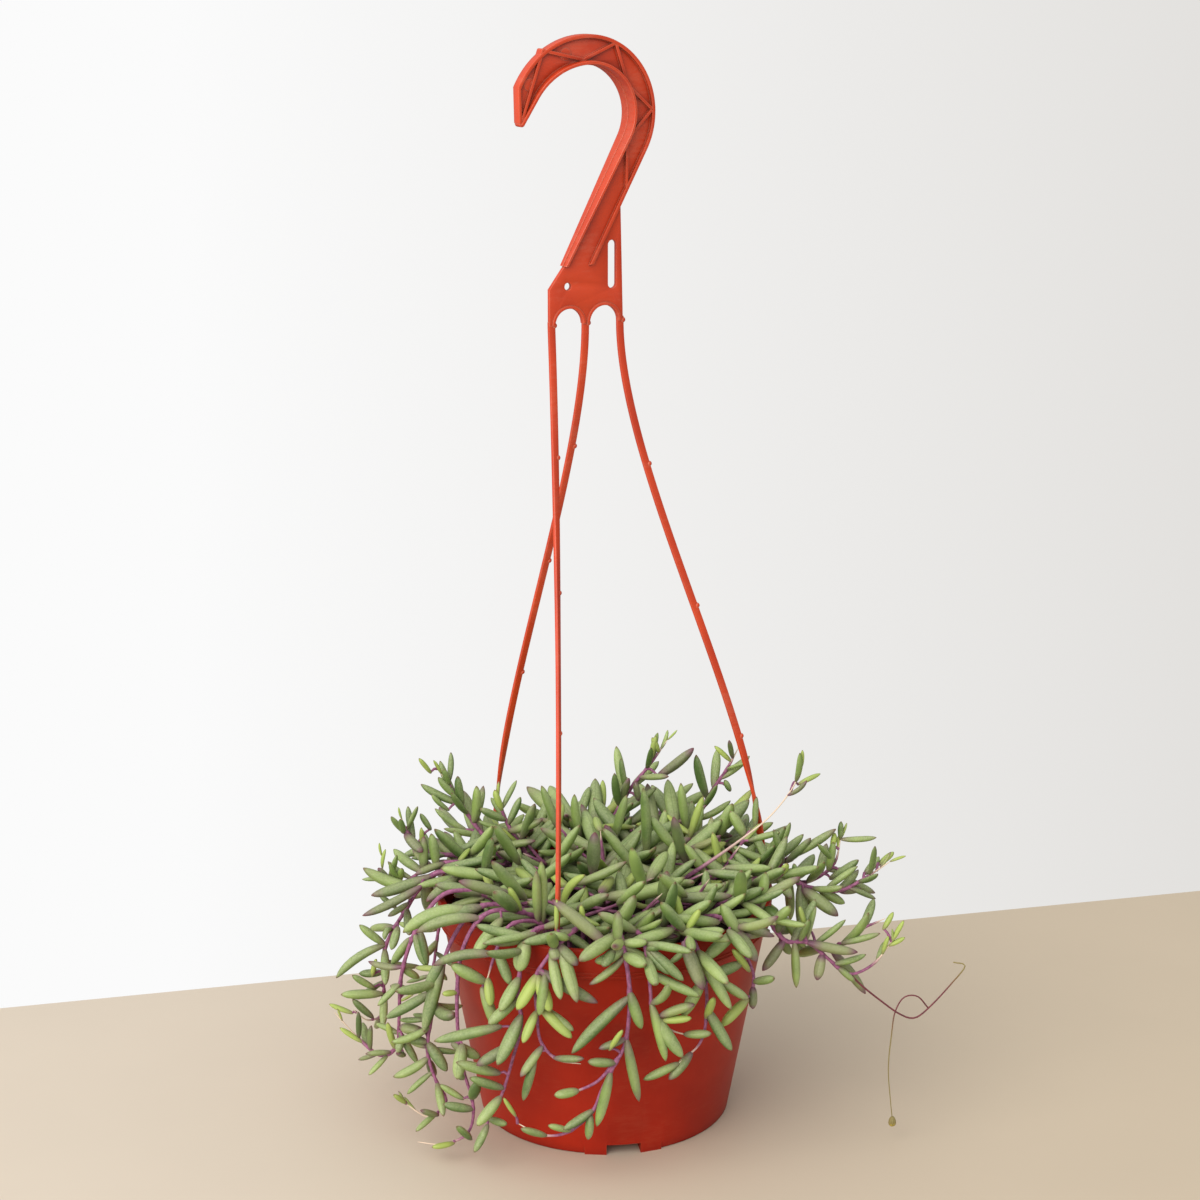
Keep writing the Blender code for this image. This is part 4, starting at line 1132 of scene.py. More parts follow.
    def fittings(self) -> list[Mesh]:
        """Make the lips round the arches, the ejector discs and the rounded nose.

        Returns:
            One mesh for each fitting.
        """
        made = []
        for centre, radius in zip(self.arch_centres, self.arch_radii):
            foot = (centre, self.plate_bottom)
            outline = arc(foot, radius - 0.05 * MM, 0.0, pi, 25)
            outline += arc(foot, radius + self.arch_lip, pi, 0.0, 25)
            made.append(flat_moulding((outline,), self.arch_lip_thickness, self.soft_edge,
                self.stand))
        for middle in self.ejector_centres:
            disc = circle(middle, self.ejector_radius, 28)
            made.append(flat_moulding((disc,), self.web + 2.0 * self.ejector_proud, 0.12 * MM,
                self.stand))
        nose = circle(self.nose_tip, self.nose_tip_radius, 24)
        made.append(flat_moulding((nose,), self.outer_flange_width - 0.4 * MM, 0.4 * MM,
            self.stand))
        return made

    def strap_controls(self, strap: Strap) -> tuple[Vector, Vector, Vector, Vector]:
        """Place the four control points of a strap's curve.

        Args:
            strap: the strap.

        Returns:
            The points, from the plate down to the rim.
        """
        top = self.stand @ Vector((strap.across * MM, self.plate_bottom, 0.0))
        foot = around(strap.foot_angle, self.pot.rim_radius - self.pot.rim_width / 2.0,
            self.pot.height + self.clip_air + self.clip_top / 2.0)
        handle = UP * self.strap_handle
        aside = Vector((strap.bow, 0.0, 0.0))
        return top, top + aside - handle, foot + aside + handle, foot

    @staticmethod
    def strap_point(controls: Sequence[Vector], share: float) -> Vector:
        """Return the point of a strap's curve at a share from the plate to the rim."""
        rest = 1.0 - share
        return (controls[0] * rest ** 3 + controls[1] * (3.0 * share * rest ** 2)
            + controls[2] * (3.0 * share ** 2 * rest) + controls[3] * share ** 3)

    def strap(self, strap: Strap, skin: Skin) -> None:
        """Add one strap, with its twist and the nubs along its edge.

        Args:
            strap: the strap to add.
            skin: gathers the shells.
        """
        controls = self.strap_controls(strap)
        rings = []
        frames = []
        for step in range(self.strap_sections):
            share = step / (self.strap_sections - 1)
            centre = self.strap_point(controls, share)
            ahead = (self.strap_point(controls, min(1.0, share + 0.01))
                - self.strap_point(controls, max(0.0, share - 0.01))).normalized()
            turned = ease((share - strap.twist_start) / (strap.twist_end - strap.twist_start))
            angle = self.yaw + radians(strap.twist) * turned
            across = Vector((cos(angle), sin(angle), 0.0))
            across = (across - ahead * across.dot(ahead)).normalized()
            half = (self.strap_width / 2.0, self.strap_thickness / 2.0)
            shown = centre + UP * self.strap_overlap if step == 0 else centre
            rings.append(soft_box_ring(shown, across, ahead.cross(across), half, sides=14,
                squareness=0.45))
            frames.append((centre, across, ahead))
        skin.add_rings(np.array(rings))
        for nub in range(self.nub_count):
            height = self.plate_bottom - nub * strap.nub_spacing
            centre, across, ahead = min(frames, key=lambda frame: abs(frame[0].z - height))
            seat = centre + across * (self.strap_width / 2.0 - 0.3 * MM)
            skin.add_rings(egg_rings(seat, across, ahead, self.nub_radius, self.nub_radius))

    def clip(self, strap: Strap) -> Mesh:
        """Make the clip at a strap's foot, an upturned U over the rim with air on every side.

        Args:
            strap: the strap that it ends.

        Returns:
            The closed clip.
        """
        ceiling = self.pot.height + self.clip_air
        top = ceiling + self.clip_top
        inside = self.pot.rim_radius - self.pot.rim_width - self.clip_air
        outside = self.pot.rim_radius + self.clip_air
        near = inside - self.clip_leg
        far = outside + self.clip_leg
        low_inside = ceiling - self.clip_inner_drop
        low_outside = ceiling - self.clip_outer_drop
        corner = 0.6 * MM
        outline = ((near, low_inside), (inside, low_inside), (inside, ceiling), (outside, ceiling),
            (outside, low_outside), (far, low_outside), (far, top - corner), (far - corner, top),
            (near + corner, top), (near, top - corner))
        upright = Matrix(((1.0, 0.0, 0.0), (0.0, 0.0, -1.0), (0.0, 1.0, 0.0))).to_4x4()
        return flat_moulding((outline,), self.clip_width, 0.25 * MM,
            facing(strap.foot_angle) @ upright)

    def build(self, finish: MouldedPlastic) -> Object:
        """Build the whole moulding as one piece.

        Args:
            finish: the plastic of the hanger.

        Returns:
            The hanger's object.
        """
        outer = self.outer_path(0.0) + self.outer_path(self.flange)[::-1]
        meshes = [self.web_plate(), flat_moulding((outer,), self.outer_flange_width, 0.35 * MM,
            self.stand), *self.ribs(), *self.fittings()]
        meshes += [self.clip(strap) for strap in self.straps]
        skin = Skin()
        self.inner_flange(skin)
        for strap in self.straps:
            self.strap(strap, skin)
        meshes.append(mesh_of(skin.build("lofted", ())))
        mesh = joined("hanger", meshes)
        mesh.materials.clear()
        mesh.materials.append(finish.material())
        item = link_smooth("hook_and_straps", mesh, sharp=35.0)
        return hand_over(item, "hanger")

    def spheres(self) -> Spheres:
        """Return spheres along the straps and clips, which the plant keeps clear of.

        Returns:
            Their middles and their radii.
        """
        centres = []
        radii = []
        steps = 120
        off_rim = 1.2 * MM
        strap_girth = 1.7 * MM
        clip_girth = 2.0 * MM
        for strap in self.straps:
            controls = self.strap_controls(strap)
            for step in range(steps + 1):
                centres.append(self.strap_point(controls, step / steps))
                radii.append(strap_girth)
            for drop in range(4):
                height = self.pot.height + (1.0 - 2.4 * drop) * MM
                for radius in (self.pot.rim_radius - self.pot.rim_width - off_rim,
                        self.pot.rim_radius + off_rim):
                    centres.append(around(strap.foot_angle, radius, height))
                    radii.append(clip_girth)
        return np.array(centres), np.array(radii)


# ---- Plant ----

class Growth(Enum):
    """How a stem grows: how far apart its new leaves stand, in mm, and how they lean, in degrees.

    The two angles are the least and the most that a leaf leans away from the stem's tip.
    """

    TRAILING = (5.2, 42.0, 70.0)
    SPREADING = (5.6, 40.0, 66.0)
    UPRIGHT = (6.0, 34.0, 60.0)
    CROWN = (2.5, 52.0, 112.0)


@dataclass(frozen=True)
class Stem:
    """One stem: its node, which begins with how it grows, and its route.

    A route is a list of (angle, radius mm, height mm). Its first point stands on the soil, and
    that height is worked out from the soil.
    """

    name: str
    route: Route
    side_shoots: tuple[Route, ...] = ()
    new_from: float = 0.88

    @property
    def growth(self) -> Growth:
        """How the stem grows, from the first word of its name."""
        return Growth[self.name.split("_")[0].upper()]


STEMS = (
    Stem("trailing_stem_left_1", ((-80, 46, 0), (-82, 58, 104), (-84, 72, 104), (-85, 84, 87),
        (-85, 92, 72), (-86, 93, 56), (-85, 93, 43), (-83, 100, 41), (-82, 106, 47))),
    Stem("spreading_stem_left_1", ((-91, 48, 0), (-91, 60, 106), (-90, 74, 104), (-90, 84, 98),
        (-90, 92, 101), (-91, 93, 109))),
    Stem("spreading_stem_left_2", ((-103, 48, 0), (-102, 62, 104), (-100, 74, 106),
        (-98, 83, 115), (-98, 87, 124))),
    Stem("upright_stem_left_1", ((-113, 40, 0), (-111, 50, 106), (-110, 60, 118),
        (-108, 66, 129), (-106, 73, 141))),
    Stem("upright_stem_left_2", ((-122, 28, 0), (-119, 38, 104), (-115, 46, 118), (-114, 50, 131))),
    Stem("trailing_stem_left_2", ((-36, 42, 0), (-41, 54, 103), (-48, 68, 105), (-53, 77, 91),
        (-56, 81, 72), (-57, 84, 56), (-58, 85, 42), (-56, 83, 30), (-54, 80, 21),
        (-57, 86, 14), (-61, 93, 19))),
    Stem("trailing_stem_left_3", ((-27, 44, 0), (-34, 58, 104), (-42, 71, 105), (-46, 79, 90),
        (-47, 81, 66), (-46, 80, 42), (-43, 78, 24), (-44, 80, 12), (-49, 87, 7), (-54, 94, 7))),
    Stem("trailing_stem_left_4", ((-62, 44, 0), (-62, 58, 104), (-64, 73, 105), (-66, 84, 90),
        (-69, 89, 70), (-70, 90, 50), (-73, 90, 36), (-76, 96, 30), (-79, 105, 37),
        (-80, 114, 48))),
    Stem("trailing_stem_front_1", ((-23, 50, 0), (-27, 62, 103), (-31, 74, 104), (-34, 78, 92),
        (-37, 78, 80))),
    Stem("trailing_stem_front_2", ((-17, 50, 0), (-20, 62, 102), (-24, 75, 101), (-26, 78, 80),
        (-25, 78, 66), (-28, 78, 50), (-32, 78, 33), (-37, 78, 21))),
    Stem("trailing_stem_front_3", ((-7, 48, 0), (-8, 62, 103), (-10, 71, 105), (-15, 78, 99),
        (-20, 79, 87), (-20, 78, 72), (-19, 78, 60), (-14, 78, 53), (-7, 78, 52))),
    Stem("trailing_stem_front_4", ((3, 50, 0), (4, 62, 102), (5, 75, 102), (7, 78, 84),
        (6, 78, 62), (2, 78, 50), (-1, 78, 41), (-4, 78, 31), (-11, 78, 22), (-19, 77, 19),
        (-27, 77, 22)), (((4, 78, 55), (-2, 78, 45), (-9, 79, 40)),)),
    Stem("trailing_stem_front_5", ((10, 49, 0), (11, 62, 101), (12, 75, 101), (13, 78, 84),
        (14, 78, 72), (19, 78, 65), (25, 78, 61))),
    Stem("trailing_stem_front_6", ((22, 50, 0), (25, 63, 101), (27, 75, 101), (30, 78, 85),
        (31, 78, 70), (29, 78, 57), (22, 78, 50))),
    Stem("trailing_stem_right_1", ((38, 50, 0), (41, 63, 102), (43, 75, 101), (46, 79, 87),
        (48, 80, 78), (46, 80, 66))),
    Stem("spreading_stem_right_1", ((53, 47, 0), (57, 62, 103), (59, 74, 100), (62, 82, 88),
        (65, 90, 87), (67, 98, 80), (69, 106, 73), (71, 115, 77), (72, 122, 87)),
        (((65, 90, 87), (72, 97, 80), (78, 106, 85), (80, 117, 90)),)),
    Stem("spreading_stem_right_2", ((77, 47, 0), (80, 61, 103), (82, 74, 104), (84, 86, 99),
        (84, 97, 98), (85, 106, 102), (85, 118, 111))),
    Stem("spreading_stem_right_3", ((93, 46, 0), (93, 60, 102), (93, 72, 104), (92, 82, 97),
        (91, 90, 100), (90, 96, 107), (90, 98, 117))),
    Stem("upright_stem_right_1", ((62, 28, 0), (70, 34, 103), (75, 43, 110), (79, 56, 120),
        (82, 68, 130), (83, 77, 142), (83, 81, 152)), new_from=0.3),
    Stem("upright_stem_back_1", ((-178, 40, 0), (176, 45, 108), (168, 47, 121), (158, 50, 133),
        (150, 54, 145))),
    Stem("upright_stem_back_2", ((142, 50, 0), (138, 57, 108), (134, 64, 122), (130, 69, 133),
        (128, 73, 142))),
    Stem("trailing_stem_back_1", ((122, 49, 0), (121, 62, 104), (119, 75, 103), (118, 80, 86),
        (120, 81, 66))),
    Stem("trailing_stem_back_2", ((158, 50, 0), (159, 63, 103), (161, 75, 102), (162, 79, 84),
        (160, 79, 60), (164, 79, 44))),
    Stem("trailing_stem_back_3", ((-164, 50, 0), (-163, 63, 103), (-160, 75, 102),
        (-158, 79, 86), (-161, 80, 66))),
    Stem("trailing_stem_back_4", ((-128, 50, 0), (-127, 63, 103), (-124, 75, 104),
        (-121, 81, 84), (-119, 83, 60), (-115, 84, 40), (-110, 90, 33))),
)


# The leaves that show, a row for each: how far right of the pot's axis, how high and how far in
# front of the axis its foot is, in mm; the way it points as seen from the front, in degrees
# anticlockwise from the right; its length and width in mm; how far it leans towards the front, in
# degrees; and how far it curls, in degrees, where it does.
GROWN_LEAVES: tuple[tuple[float, ...], ...] = (
    # Upright stems at the left
    (-60, 125, -20, 103, 14, 4.2, 10), (-64, 127, -19, 127, 12, 3.8, 0, 10),
    (-65, 133, -18, 107, 9, 2.8, 0), (-56, 118, -18, 74, 17, 4.6, 5, -10),
    (-42, 115, -20, 63, 15, 3.8, 0), (-46, 118, -18, 137, 10, 4.1, 20),
    (-69, 121, -16, 121, 10, 2.6, 0, 10), (-70, 119, -15, 151, 9, 3, 10),
    (-55, 104, -8, 136, 23, 5.2, 10), (-55, 109, -10, 42, 15, 5, 20, 15),
    (-53, 106, -6, 35, 15, 6.6, 40, 20), (-74, 100, -5, 95, 18, 4.8, 10, 8),
    (-70, 101, -4, 94, 19, 4.8, 12, -6), (-84, 119, 0, 124, 9, 2.8, 0),
    (-84, 118, 0, 96, 8, 2.6, 10), (-83, 118, 0, -45, 10, 4.2, 15, 10),
    (-69, 100, 2, 23, 27, 4.4, 12, 12), (-59, 99, 6, 19, 21, 4.6, 10), (-90, 97, 2, 122, 9, 3.1, 0),
    (-88, 103, 1, 74, 8, 2.7, 10), (-86, 97, 2, 80, 9, 2.8, 10), (-90, 91, 4, 151, 5, 2.6, 0),
    (-43, 112, -15, 21, 19, 4.6, 5, 12), (-23, 122, -10, 101, 16, 4.2, 5),
    # The left shoulder and what hangs from it
    (-76, 103, 20, 212, 26, 4, 8, 16), (-82, 94, 15, 215, 9, 2.8, 10),
    (-54, 104, 46, 166, 29, 6.4, 10, -62), (-49, 102, 49, 169, 28, 5, 12, -48),
    (-90, 79, 10, 93, 8, 2.4, 5, -170), (-96, 74, 8, 133, 10, 3.9, 0),
    (-94, 74, 10, 196, 23, 4.2, 5, -44), (-80, 86, 26, 241, 15, 4.4, 10),
    (-42, 93, 60, 174, 27, 4.6, 4, -40), (-43, 95, 68, -64, 14, 4.2, 10),
    (-33, 104, 70, 264, 15, 6.2, 14, -14), (-24, 103, 71, 182, 24, 3.6, 10, -8),
    (-25, 90, 77, -31, 25, 5.2, 6, 10), (-24, 76, 78, -41, 15, 4.8, 8),
    (-49, 78, 61, 141, 16, 5.6, 12), (-69, 83, 43, 257, 15, 6, 12),
    (-67, 80, 47, 254, 28, 5.8, 6, -8), (-85, 67, 34, 228, 12, 3, 8),
    (-73, 68, 41, 218, 20, 4.8, 10, 6), (-93, 53, 15, 178, 17, 4.4, 0),
    (-100, 55, 12, 137, 8, 3.4, 0), (-96, 35, 22, 109, 9, 2.9, 5, 10),
    (-92, 34, 28, 184, 7, 2.7, 5), (-72, 46, 43, 165, 10, 4.2, 10),
    (-73, 40, 45, 228, 16, 4.2, 8, 34), (-71, 45, 47, -51, 12, 4.8, 15),
    (-64, 39, 53, -28, 9, 4.2, 20), (-68, 64, 48, -63, 13, 5.2, 20, 90),
    (-45, 65, 67, 198, 24, 4.9, 4, -8), (-52, 75, 63, -55, 17, 4.9, 10),
    (-66, 50, 53, -23, 17, 4.9, 8, 8), (-46, 44, 67, 166, 14, 4.8, 8),
    (-42, 58, 70, 228, 13, 4.8, 15), (-57, 22, 58, 162, 9, 4.2, 12), (-56, 26, 59, 63, 11, 4.5, 10),
    (-40, 37, 69, 161, 15, 4.2, 6), (-40, 32, 69, 222, 15, 4.8, 8), (-48, 20, 65, 0, 9, 3.4, 12),
    (-52, 10, 65, 128, 12, 3.4, 5), (-47, 16, 67, 237, 9, 3.4, 4), (-67, 16, 54, 151, 9, 3, 5),
    (-91, 61, 8, 188, 12, 3.8, 0), (-85, 43, 24, 161, 10, 2.8, 6, -20),
    (-77, 59, 22, 164, 12, 4.2, 10), (-76, 56, 40, 198, 8, 2.6, 6), (-61, 25, 54, 131, 9, 3, 4),
    (-54, 52, 60, 250, 15, 5, 10), (-81, 42, 36, 227, 6, 3.2, 6), (-76, 89, 36, 282, 13, 3.8, 8),
    (-71, 89, 36, 265, 13, 4.2, 8), (-85, 84, 18, 250, 9, 3.4, 8), (-85, 73, 26, 320, 11, 3.8, 8),
    (-73, 44, 43, 161, 8, 3, 8), (-76, 50, 38, 179, 8, 5, 8), (-86, 93, 2, 143, 5, 3, 6),
    (-96, 46, 14, 153, 11, 3.6, 4), (-80, 32, 34, 140, 7, 3, 6),
    # Crown, left half
    (-50, 104, 24, 165, 20, 5.2, 14, -10), (-46, 106, 10, 175, 22, 5.4, 8),
    (-22, 104, 50, 96, 24, 4.9, 8), (-28, 102, 52, 90, 24, 4.3, 14, -6),
    (-31, 106, 42, 128, 24, 5.7, 12), (-35, 103, 50, 121, 18, 6.4, 25),
    (-3, 111, 15, 95, 18, 6.5, 20), (9, 113, 12, 121, 18, 5, 12),
    (-11, 110, 25, 13, 22, 4.3, 10, 8), (-3, 101, 78, 132, 26, 5.4, -12),
    (1, 101, 78, 76, 15, 4.8, -12), (-40, 104, 36, 152, 22, 5.4, 14),
    (-14, 104, 46, 158, 20, 5, 24, -8), (-19, 104, 77, 309, 13, 4.6, 12),
    (-46, 103, 30, 30, 21, 5, 18, 8), (-30, 108, 20, 168, 24, 5, 12), (-20, 110, 8, 62, 20, 4.8, 8),
    (-38, 108, 6, 110, 20, 5.2, 8), (-48, 101, 44, 178, 22, 5.6, 16, -8),
    (-9, 104, 52, 50, 17, 5, 22), (-40, 100, 56, 215, 16, 5.2, 25),
    (-26, 110, 30, 38, 19, 4.8, 16, 10), (-12, 112, 0, 142, 18, 4.6, 4),
    (-34, 112, -12, 74, 17, 4.4, 0), (-1, 100, 79, 270, 6, 4.2, 45),
    (-52, 108, 12, 74, 17, 4.6, 14),
    # Top and rear
    (26, 127, -42, 46, 20, 5, 5, 8), (6, 125, -45, 92, 12, 3, 0), (4, 117, -42, 63, 14, 3.5, 0),
    (18, 116, -42, 113, 13, 3.4, 0), (58, 120, -44, 129, 10, 3, 0), (47, 115, -20, 62, 15, 5.8, 20),
    (61, 114, -15, 127, 14, 5, 10), (35, 108, 5, 112, 22, 5, 5), (41, 107, 5, 125, 14, 4.3, 12),
    (28, 110, -8, 127, 18, 5, 8), (20, 110, -5, 92, 29, 5.1, 5, -6), (9, 109, 0, 125, 18, 5, 12),
    (66, 119, -15, 107, 12, 3.1, 0), (2, 112, -22, 70, 18, 4.6, 0),
    (-8, 112, -26, 118, 17, 4.4, 0, 10), (34, 114, -28, 100, 18, 4.6, 0),
    # Right side
    (63, 118, 0, 17, 10, 3.2, 5), (76, 109, 0, 112, 14, 3.9, 5), (74, 117, 0, 63, 8, 2.8, 0),
    (78, 109, 0, 45, 12, 3.9, 10), (80, 112, 0, 29, 19, 4.2, 6, 8), (99, 117, 0, 100, 8, 2.8, 0),
    (100, 117, 0, -4, 13, 2.8, 0, 8), (97, 96, 0, 51, 15, 4.2, 8), (109, 101, -4, 47, 9, 3.4, 5),
    (98, 94, 2, 6, 9, 3.2, 0), (80, 99, 10, 102, 12, 3.2, 8), (63, 98, 30, 85, 18, 5, 12),
    (65, 93, 39, 47, 15, 4.9, 15), (81, 98, 16, -22, 17, 5.7, 14), (43, 109, 20, 0, 18, 4.4, 14, 8),
    (30, 108, 28, 2, 19, 4.7, 14), (52, 109, 10, -3, 17, 4.4, 10, 10),
    (54, 98, 51, 125, 15, 5.6, 14), (38, 104, 42, 58, 13, 3.9, 14),
    (70, 104, 14, 20, 20, 4.6, 16, 10), (88, 100, 4, -40, 15, 4.6, 14), (92, 104, 0, 74, 13, 4, 8),
    (74, 96, 26, -60, 17, 4.8, 16), (60, 104, 22, 38, 18, 5, 20), (66, 108, -2, 62, 17, 4.4, 6),
    (47, 104, 34, 20, 19, 5, 18), (82, 90, 22, 250, 15, 4.6, 12), (103, 97, -2, -30, 11, 3.6, 6),
    # The front of the rim
    (30, 102, 65, 124, 17, 5.3, 14), (19, 102, 58, 64, 22, 4.6, 10), (19, 108, 42, 72, 15, 5.7, 22),
    (3, 106, 48, 47, 19, 4.9, 16), (7, 103, 56, 65, 15, 6, 22), (34, 101, 64, 11, 14, 4.8, 20),
    (50, 99, 61, 214, 15, 5.2, 20), (3, 100, 73, 10, 14, 4.2, 12), (13, 99, 75, 20, 11, 3.7, 14),
    (7, 98, 77, -12, 12, 5.2, 42), (17, 99, 77, -48, 12, 4.1, 12), (21, 101, 77, -52, 16, 4.5, 14),
    (28, 102, 75, -61, 21, 5.5, 12, -8), (17, 91, 79, -27, 22, 4.1, 4, 8),
    (39, 95, 71, -65, 24, 4.8, 8), (52, 86, 62, 194, 11, 4.8, 14), (49, 84, 66, -52, 12, 4.1, 10),
    (58, 77, 58, 16, 10, 4.1, 8), (55, 101, 58, -68, 14, 4.9, 18), (60, 75, 56, 264, 9, 4.2, 6),
    (23, 104, 66, 196, 16, 5.2, 26), (42, 102, 58, 160, 18, 5.2, 22),
    (12, 104, 62, 150, 18, 5.2, 22), (5, 101, 77, 231, 12, 4.6, 16, 40),
    (46, 100, 62, -30, 15, 4.8, 26), (36, 108, 46, 140, 20, 5.2, 16), (15, 110, 34, 108, 18, 5, 16),
    (28, 106, 54, 30, 17, 5, 22), (52, 104, 42, 82, 17, 4.8, 14), (-11, 102, 76, 155, 10, 3.8, 8),
    # The lower right spreading stem
    (72, 85, 41, 228, 12, 4.2, 12), (78, 86, 41, 270, 17, 4.2, 6),
    (69, 92, 43, 60, 15, 4.2, 12, 190), (83, 88, 38, -20, 20, 4.5, 6, 8),
    (79, 88, 39, 68, 10, 3.4, 6), (83, 92, 36, 83, 10, 2.7, 0), (88, 87, 36, 40, 13, 3, 4),
    (98, 87, 35, 7, 14, 3, 2, 8), (95, 76, 38, -41, 9, 3, 4), (90, 83, 40, 250, 12, 4, 8),
    # Hanging in front of the pot
    (-32, 70, 76, 243, 21, 5.5, 6), (-36, 78, 74, 224, 14, 4.8, 10),
    (-34, 86, 75, 240, 14, 4.8, 10), (-25, 59, 79, 233, 14, 3.7, 5), (-31, 52, 78, 264, 15, 4.1, 5),
    (8, 81, 80, 221, 31, 5.4, 3, -12), (-21, 55, 80, 0, 13, 3.3, 6), (5, 53, 80, 176, 12, 4.1, 4),
    (8, 63, 80, 198, 11, 3.3, 5), (-10, 40, 81, 180, 10, 4.1, 5), (6, 48, 80, 248, 23, 4.9, 3, -8),
    (-6, 33, 80, 219, 13, 3.7, 6), (-6, 30, 80, 267, 9, 4.1, 8), (-15, 24, 79, 163, 8, 3, 4),
    (-24, 21, 77, 163, 10, 3.3, 4), (13, 84, 79, -88, 16, 5.2, 6), (18, 72, 79, -54, 20, 5.6, 6),
    (16, 77, 79, -68, 24, 4.8, 3), (17, 91, 79, -28, 22, 4.3, 6, 8),
    (21, 77, 79, 30, 11, 4.2, 12, 70), (25, 74, 78, 27, 11, 4.3, 8), (32, 64, 74, -3, 10, 3.8, 8),
    (40, 72, 70, -63, 20, 4.8, 4), (26, 51, 75, 215, 13, 3.8, 4), (34, 54, 72, 235, 14, 4.3, 6),
    (11, 62, 79, -86, 25, 4.8, 3), (-20, 88, 79, 250, 15, 4.8, 8), (38, 84, 71, 240, 16, 4.8, 10),
    (-22, 104, 76, 79, 10, 4.2, 50), (-23, 104, 77, 297, 9, 4.2, 10),
)

NEW_LEAVES: tuple[tuple[float, ...], ...] = (
    (-46, 122, -18, 97, 10, 3.4, 0), (-76, 139, -14, 100, 9, 2.4, 0),
    (-34, 106, 48, 114, 11, 3.6, 15), (-16, 108, 42, 97, 14, 3.8, 12, 60),
    (-28, 90, 77, 249, 16, 5, 8), (-27, 89, 78, -70, 15, 5, 8), (16, 138, -45, 61, 11, 3, 0),
    (25, 139, -45, 119, 9, 2.9, 0), (51, 137, -45, 122, 7, 2.6, 0), (34, 113, -20, 69, 18, 3.9, 5),
    (45, 108, 0, 90, 13, 3.8, 8), (81, 138, -10, 29, 10, 2.3, 0), (90, 113, 0, 49, 9, 3, 0),
    (115, 104, -6, 42, 8, 2.8, 0), (71, 101, 15, 69, 12, 3.4, 8), (33, 106, 52, 125, 11, 4, 15),
    (34, 103, 62, 66, 10, 3.6, 18), (56, 81, 61, 111, 15, 3.3, 6), (82, 97, 35, 135, 6, 2.6, 0),
    (110, 94, 33, 29, 8, 2.4, 0), (112, 82, 38, 76, 8, 2.2, 0), (115, 84, 38, 35, 8, 2.2, 0),
    (117, 90, 37, 60, 7, 2.2, 0), (-101, 59, 12, 62, 11, 2.6, 0), (-109, 43, 12, 144, 8, 2.4, 0),
    (-100, 35, 20, 150, 12, 2.5, 0), (-45, 80, 66, 270, 8, 3.6, 15), (-59, 72, 58, 167, 6, 2.8, 8),
    (-27, 73, 79, 242, 12, 3.7, 8), (-23, 76, 80, -48, 15, 4.7, 8), (-2, 61, 82, 44, 12, 2.6, 4),
    (-36, 30, 73, 130, 7, 2.2, 4), (-60, 6, 62, 170, 10, 2.7, 2), (-81, 22, 50, 141, 6, 2.5, 2),
    (25, 72, 78, 0, 9, 3.6, 8), (38, 66, 71, 69, 13, 3.3, 5), (55, 72, 61, 229, 14, 4.6, 6),
    (-86, 33, 28, 106, 15, 3, 6), (-6, 112, 72, 130, 6, 2.6, 0), (-21, 111, 74, 75, 9, 2.4, -6),
)


@dataclass(frozen=True)
class Leaf:
    """One fat spindle leaf on a midline that is an arc."""

    foot: Vector
    axis: Vector
    bend: Vector
    curl: float
    length: float
    radius: float
    tone: float = 0.5
    youth: float = 0.0
    blush: float = 0.0

    # Shares of the length and of the greatest radius, from the foot to the point
    OUTLINE = ((0.0, 0.3), (0.03, 0.46), (0.09, 0.64), (0.19, 0.82), (0.32, 0.94), (0.46, 1.0),
        (0.6, 0.99), (0.73, 0.92), (0.83, 0.77), (0.905, 0.57), (0.955, 0.36), (0.985, 0.18),
        (1.0, 0.05))
    SIDES = 12
    FLATNESS = 0.76
    SPHERE_SHARES = (0.1, 0.26, 0.42, 0.58, 0.74, 0.9)

    def midline(self, share: float) -> tuple[Vector, Vector]:
        """Find a point of the midline.

        Args:
            share: share of the length.

        Returns:
            The point, and the way from there to the leaf's upper side.
        """
        if abs(self.curl) < 0.01:
            return self.foot + self.axis * (self.length * share), self.bend
        angle = self.curl * share
        reach = self.length / self.curl
        point = (self.foot + self.axis * (reach * sin(angle))
            + self.bend * (reach * (1.0 - cos(angle))))
        return point, self.bend * cos(angle) - self.axis * sin(angle)

    def spheres(self) -> Spheres:
        """Return spheres that fill the leaf."""
        shares, girths = zip(*self.OUTLINE)
        centres = np.array([self.midline(share)[0] for share in self.SPHERE_SHARES])
        return centres, self.radius * np.interp(self.SPHERE_SHARES, shares, girths)

    def add_to(self, skin: Skin) -> None:
        """Add the leaf's shell to a skin.

        Args:
            skin: gathers the shells.
        """
        across = np.array(self.axis.cross(self.bend))
        angles = 2.0 * pi * np.arange(self.SIDES) / self.SIDES
        rings = []
        for share, girth in self.OUTLINE:
            centre, top = self.midline(share)
            ring = np.outer(np.cos(angles), across)
            ring += np.outer(self.FLATNESS * np.sin(angles), np.array(top))
            rings.append(np.array(centre) + self.radius * girth * ring)
        shares = np.array([share for share, _ in self.OUTLINE])
        skin.add_rings(np.array(rings), 0, shares, self.tone, self.youth, self.blush)


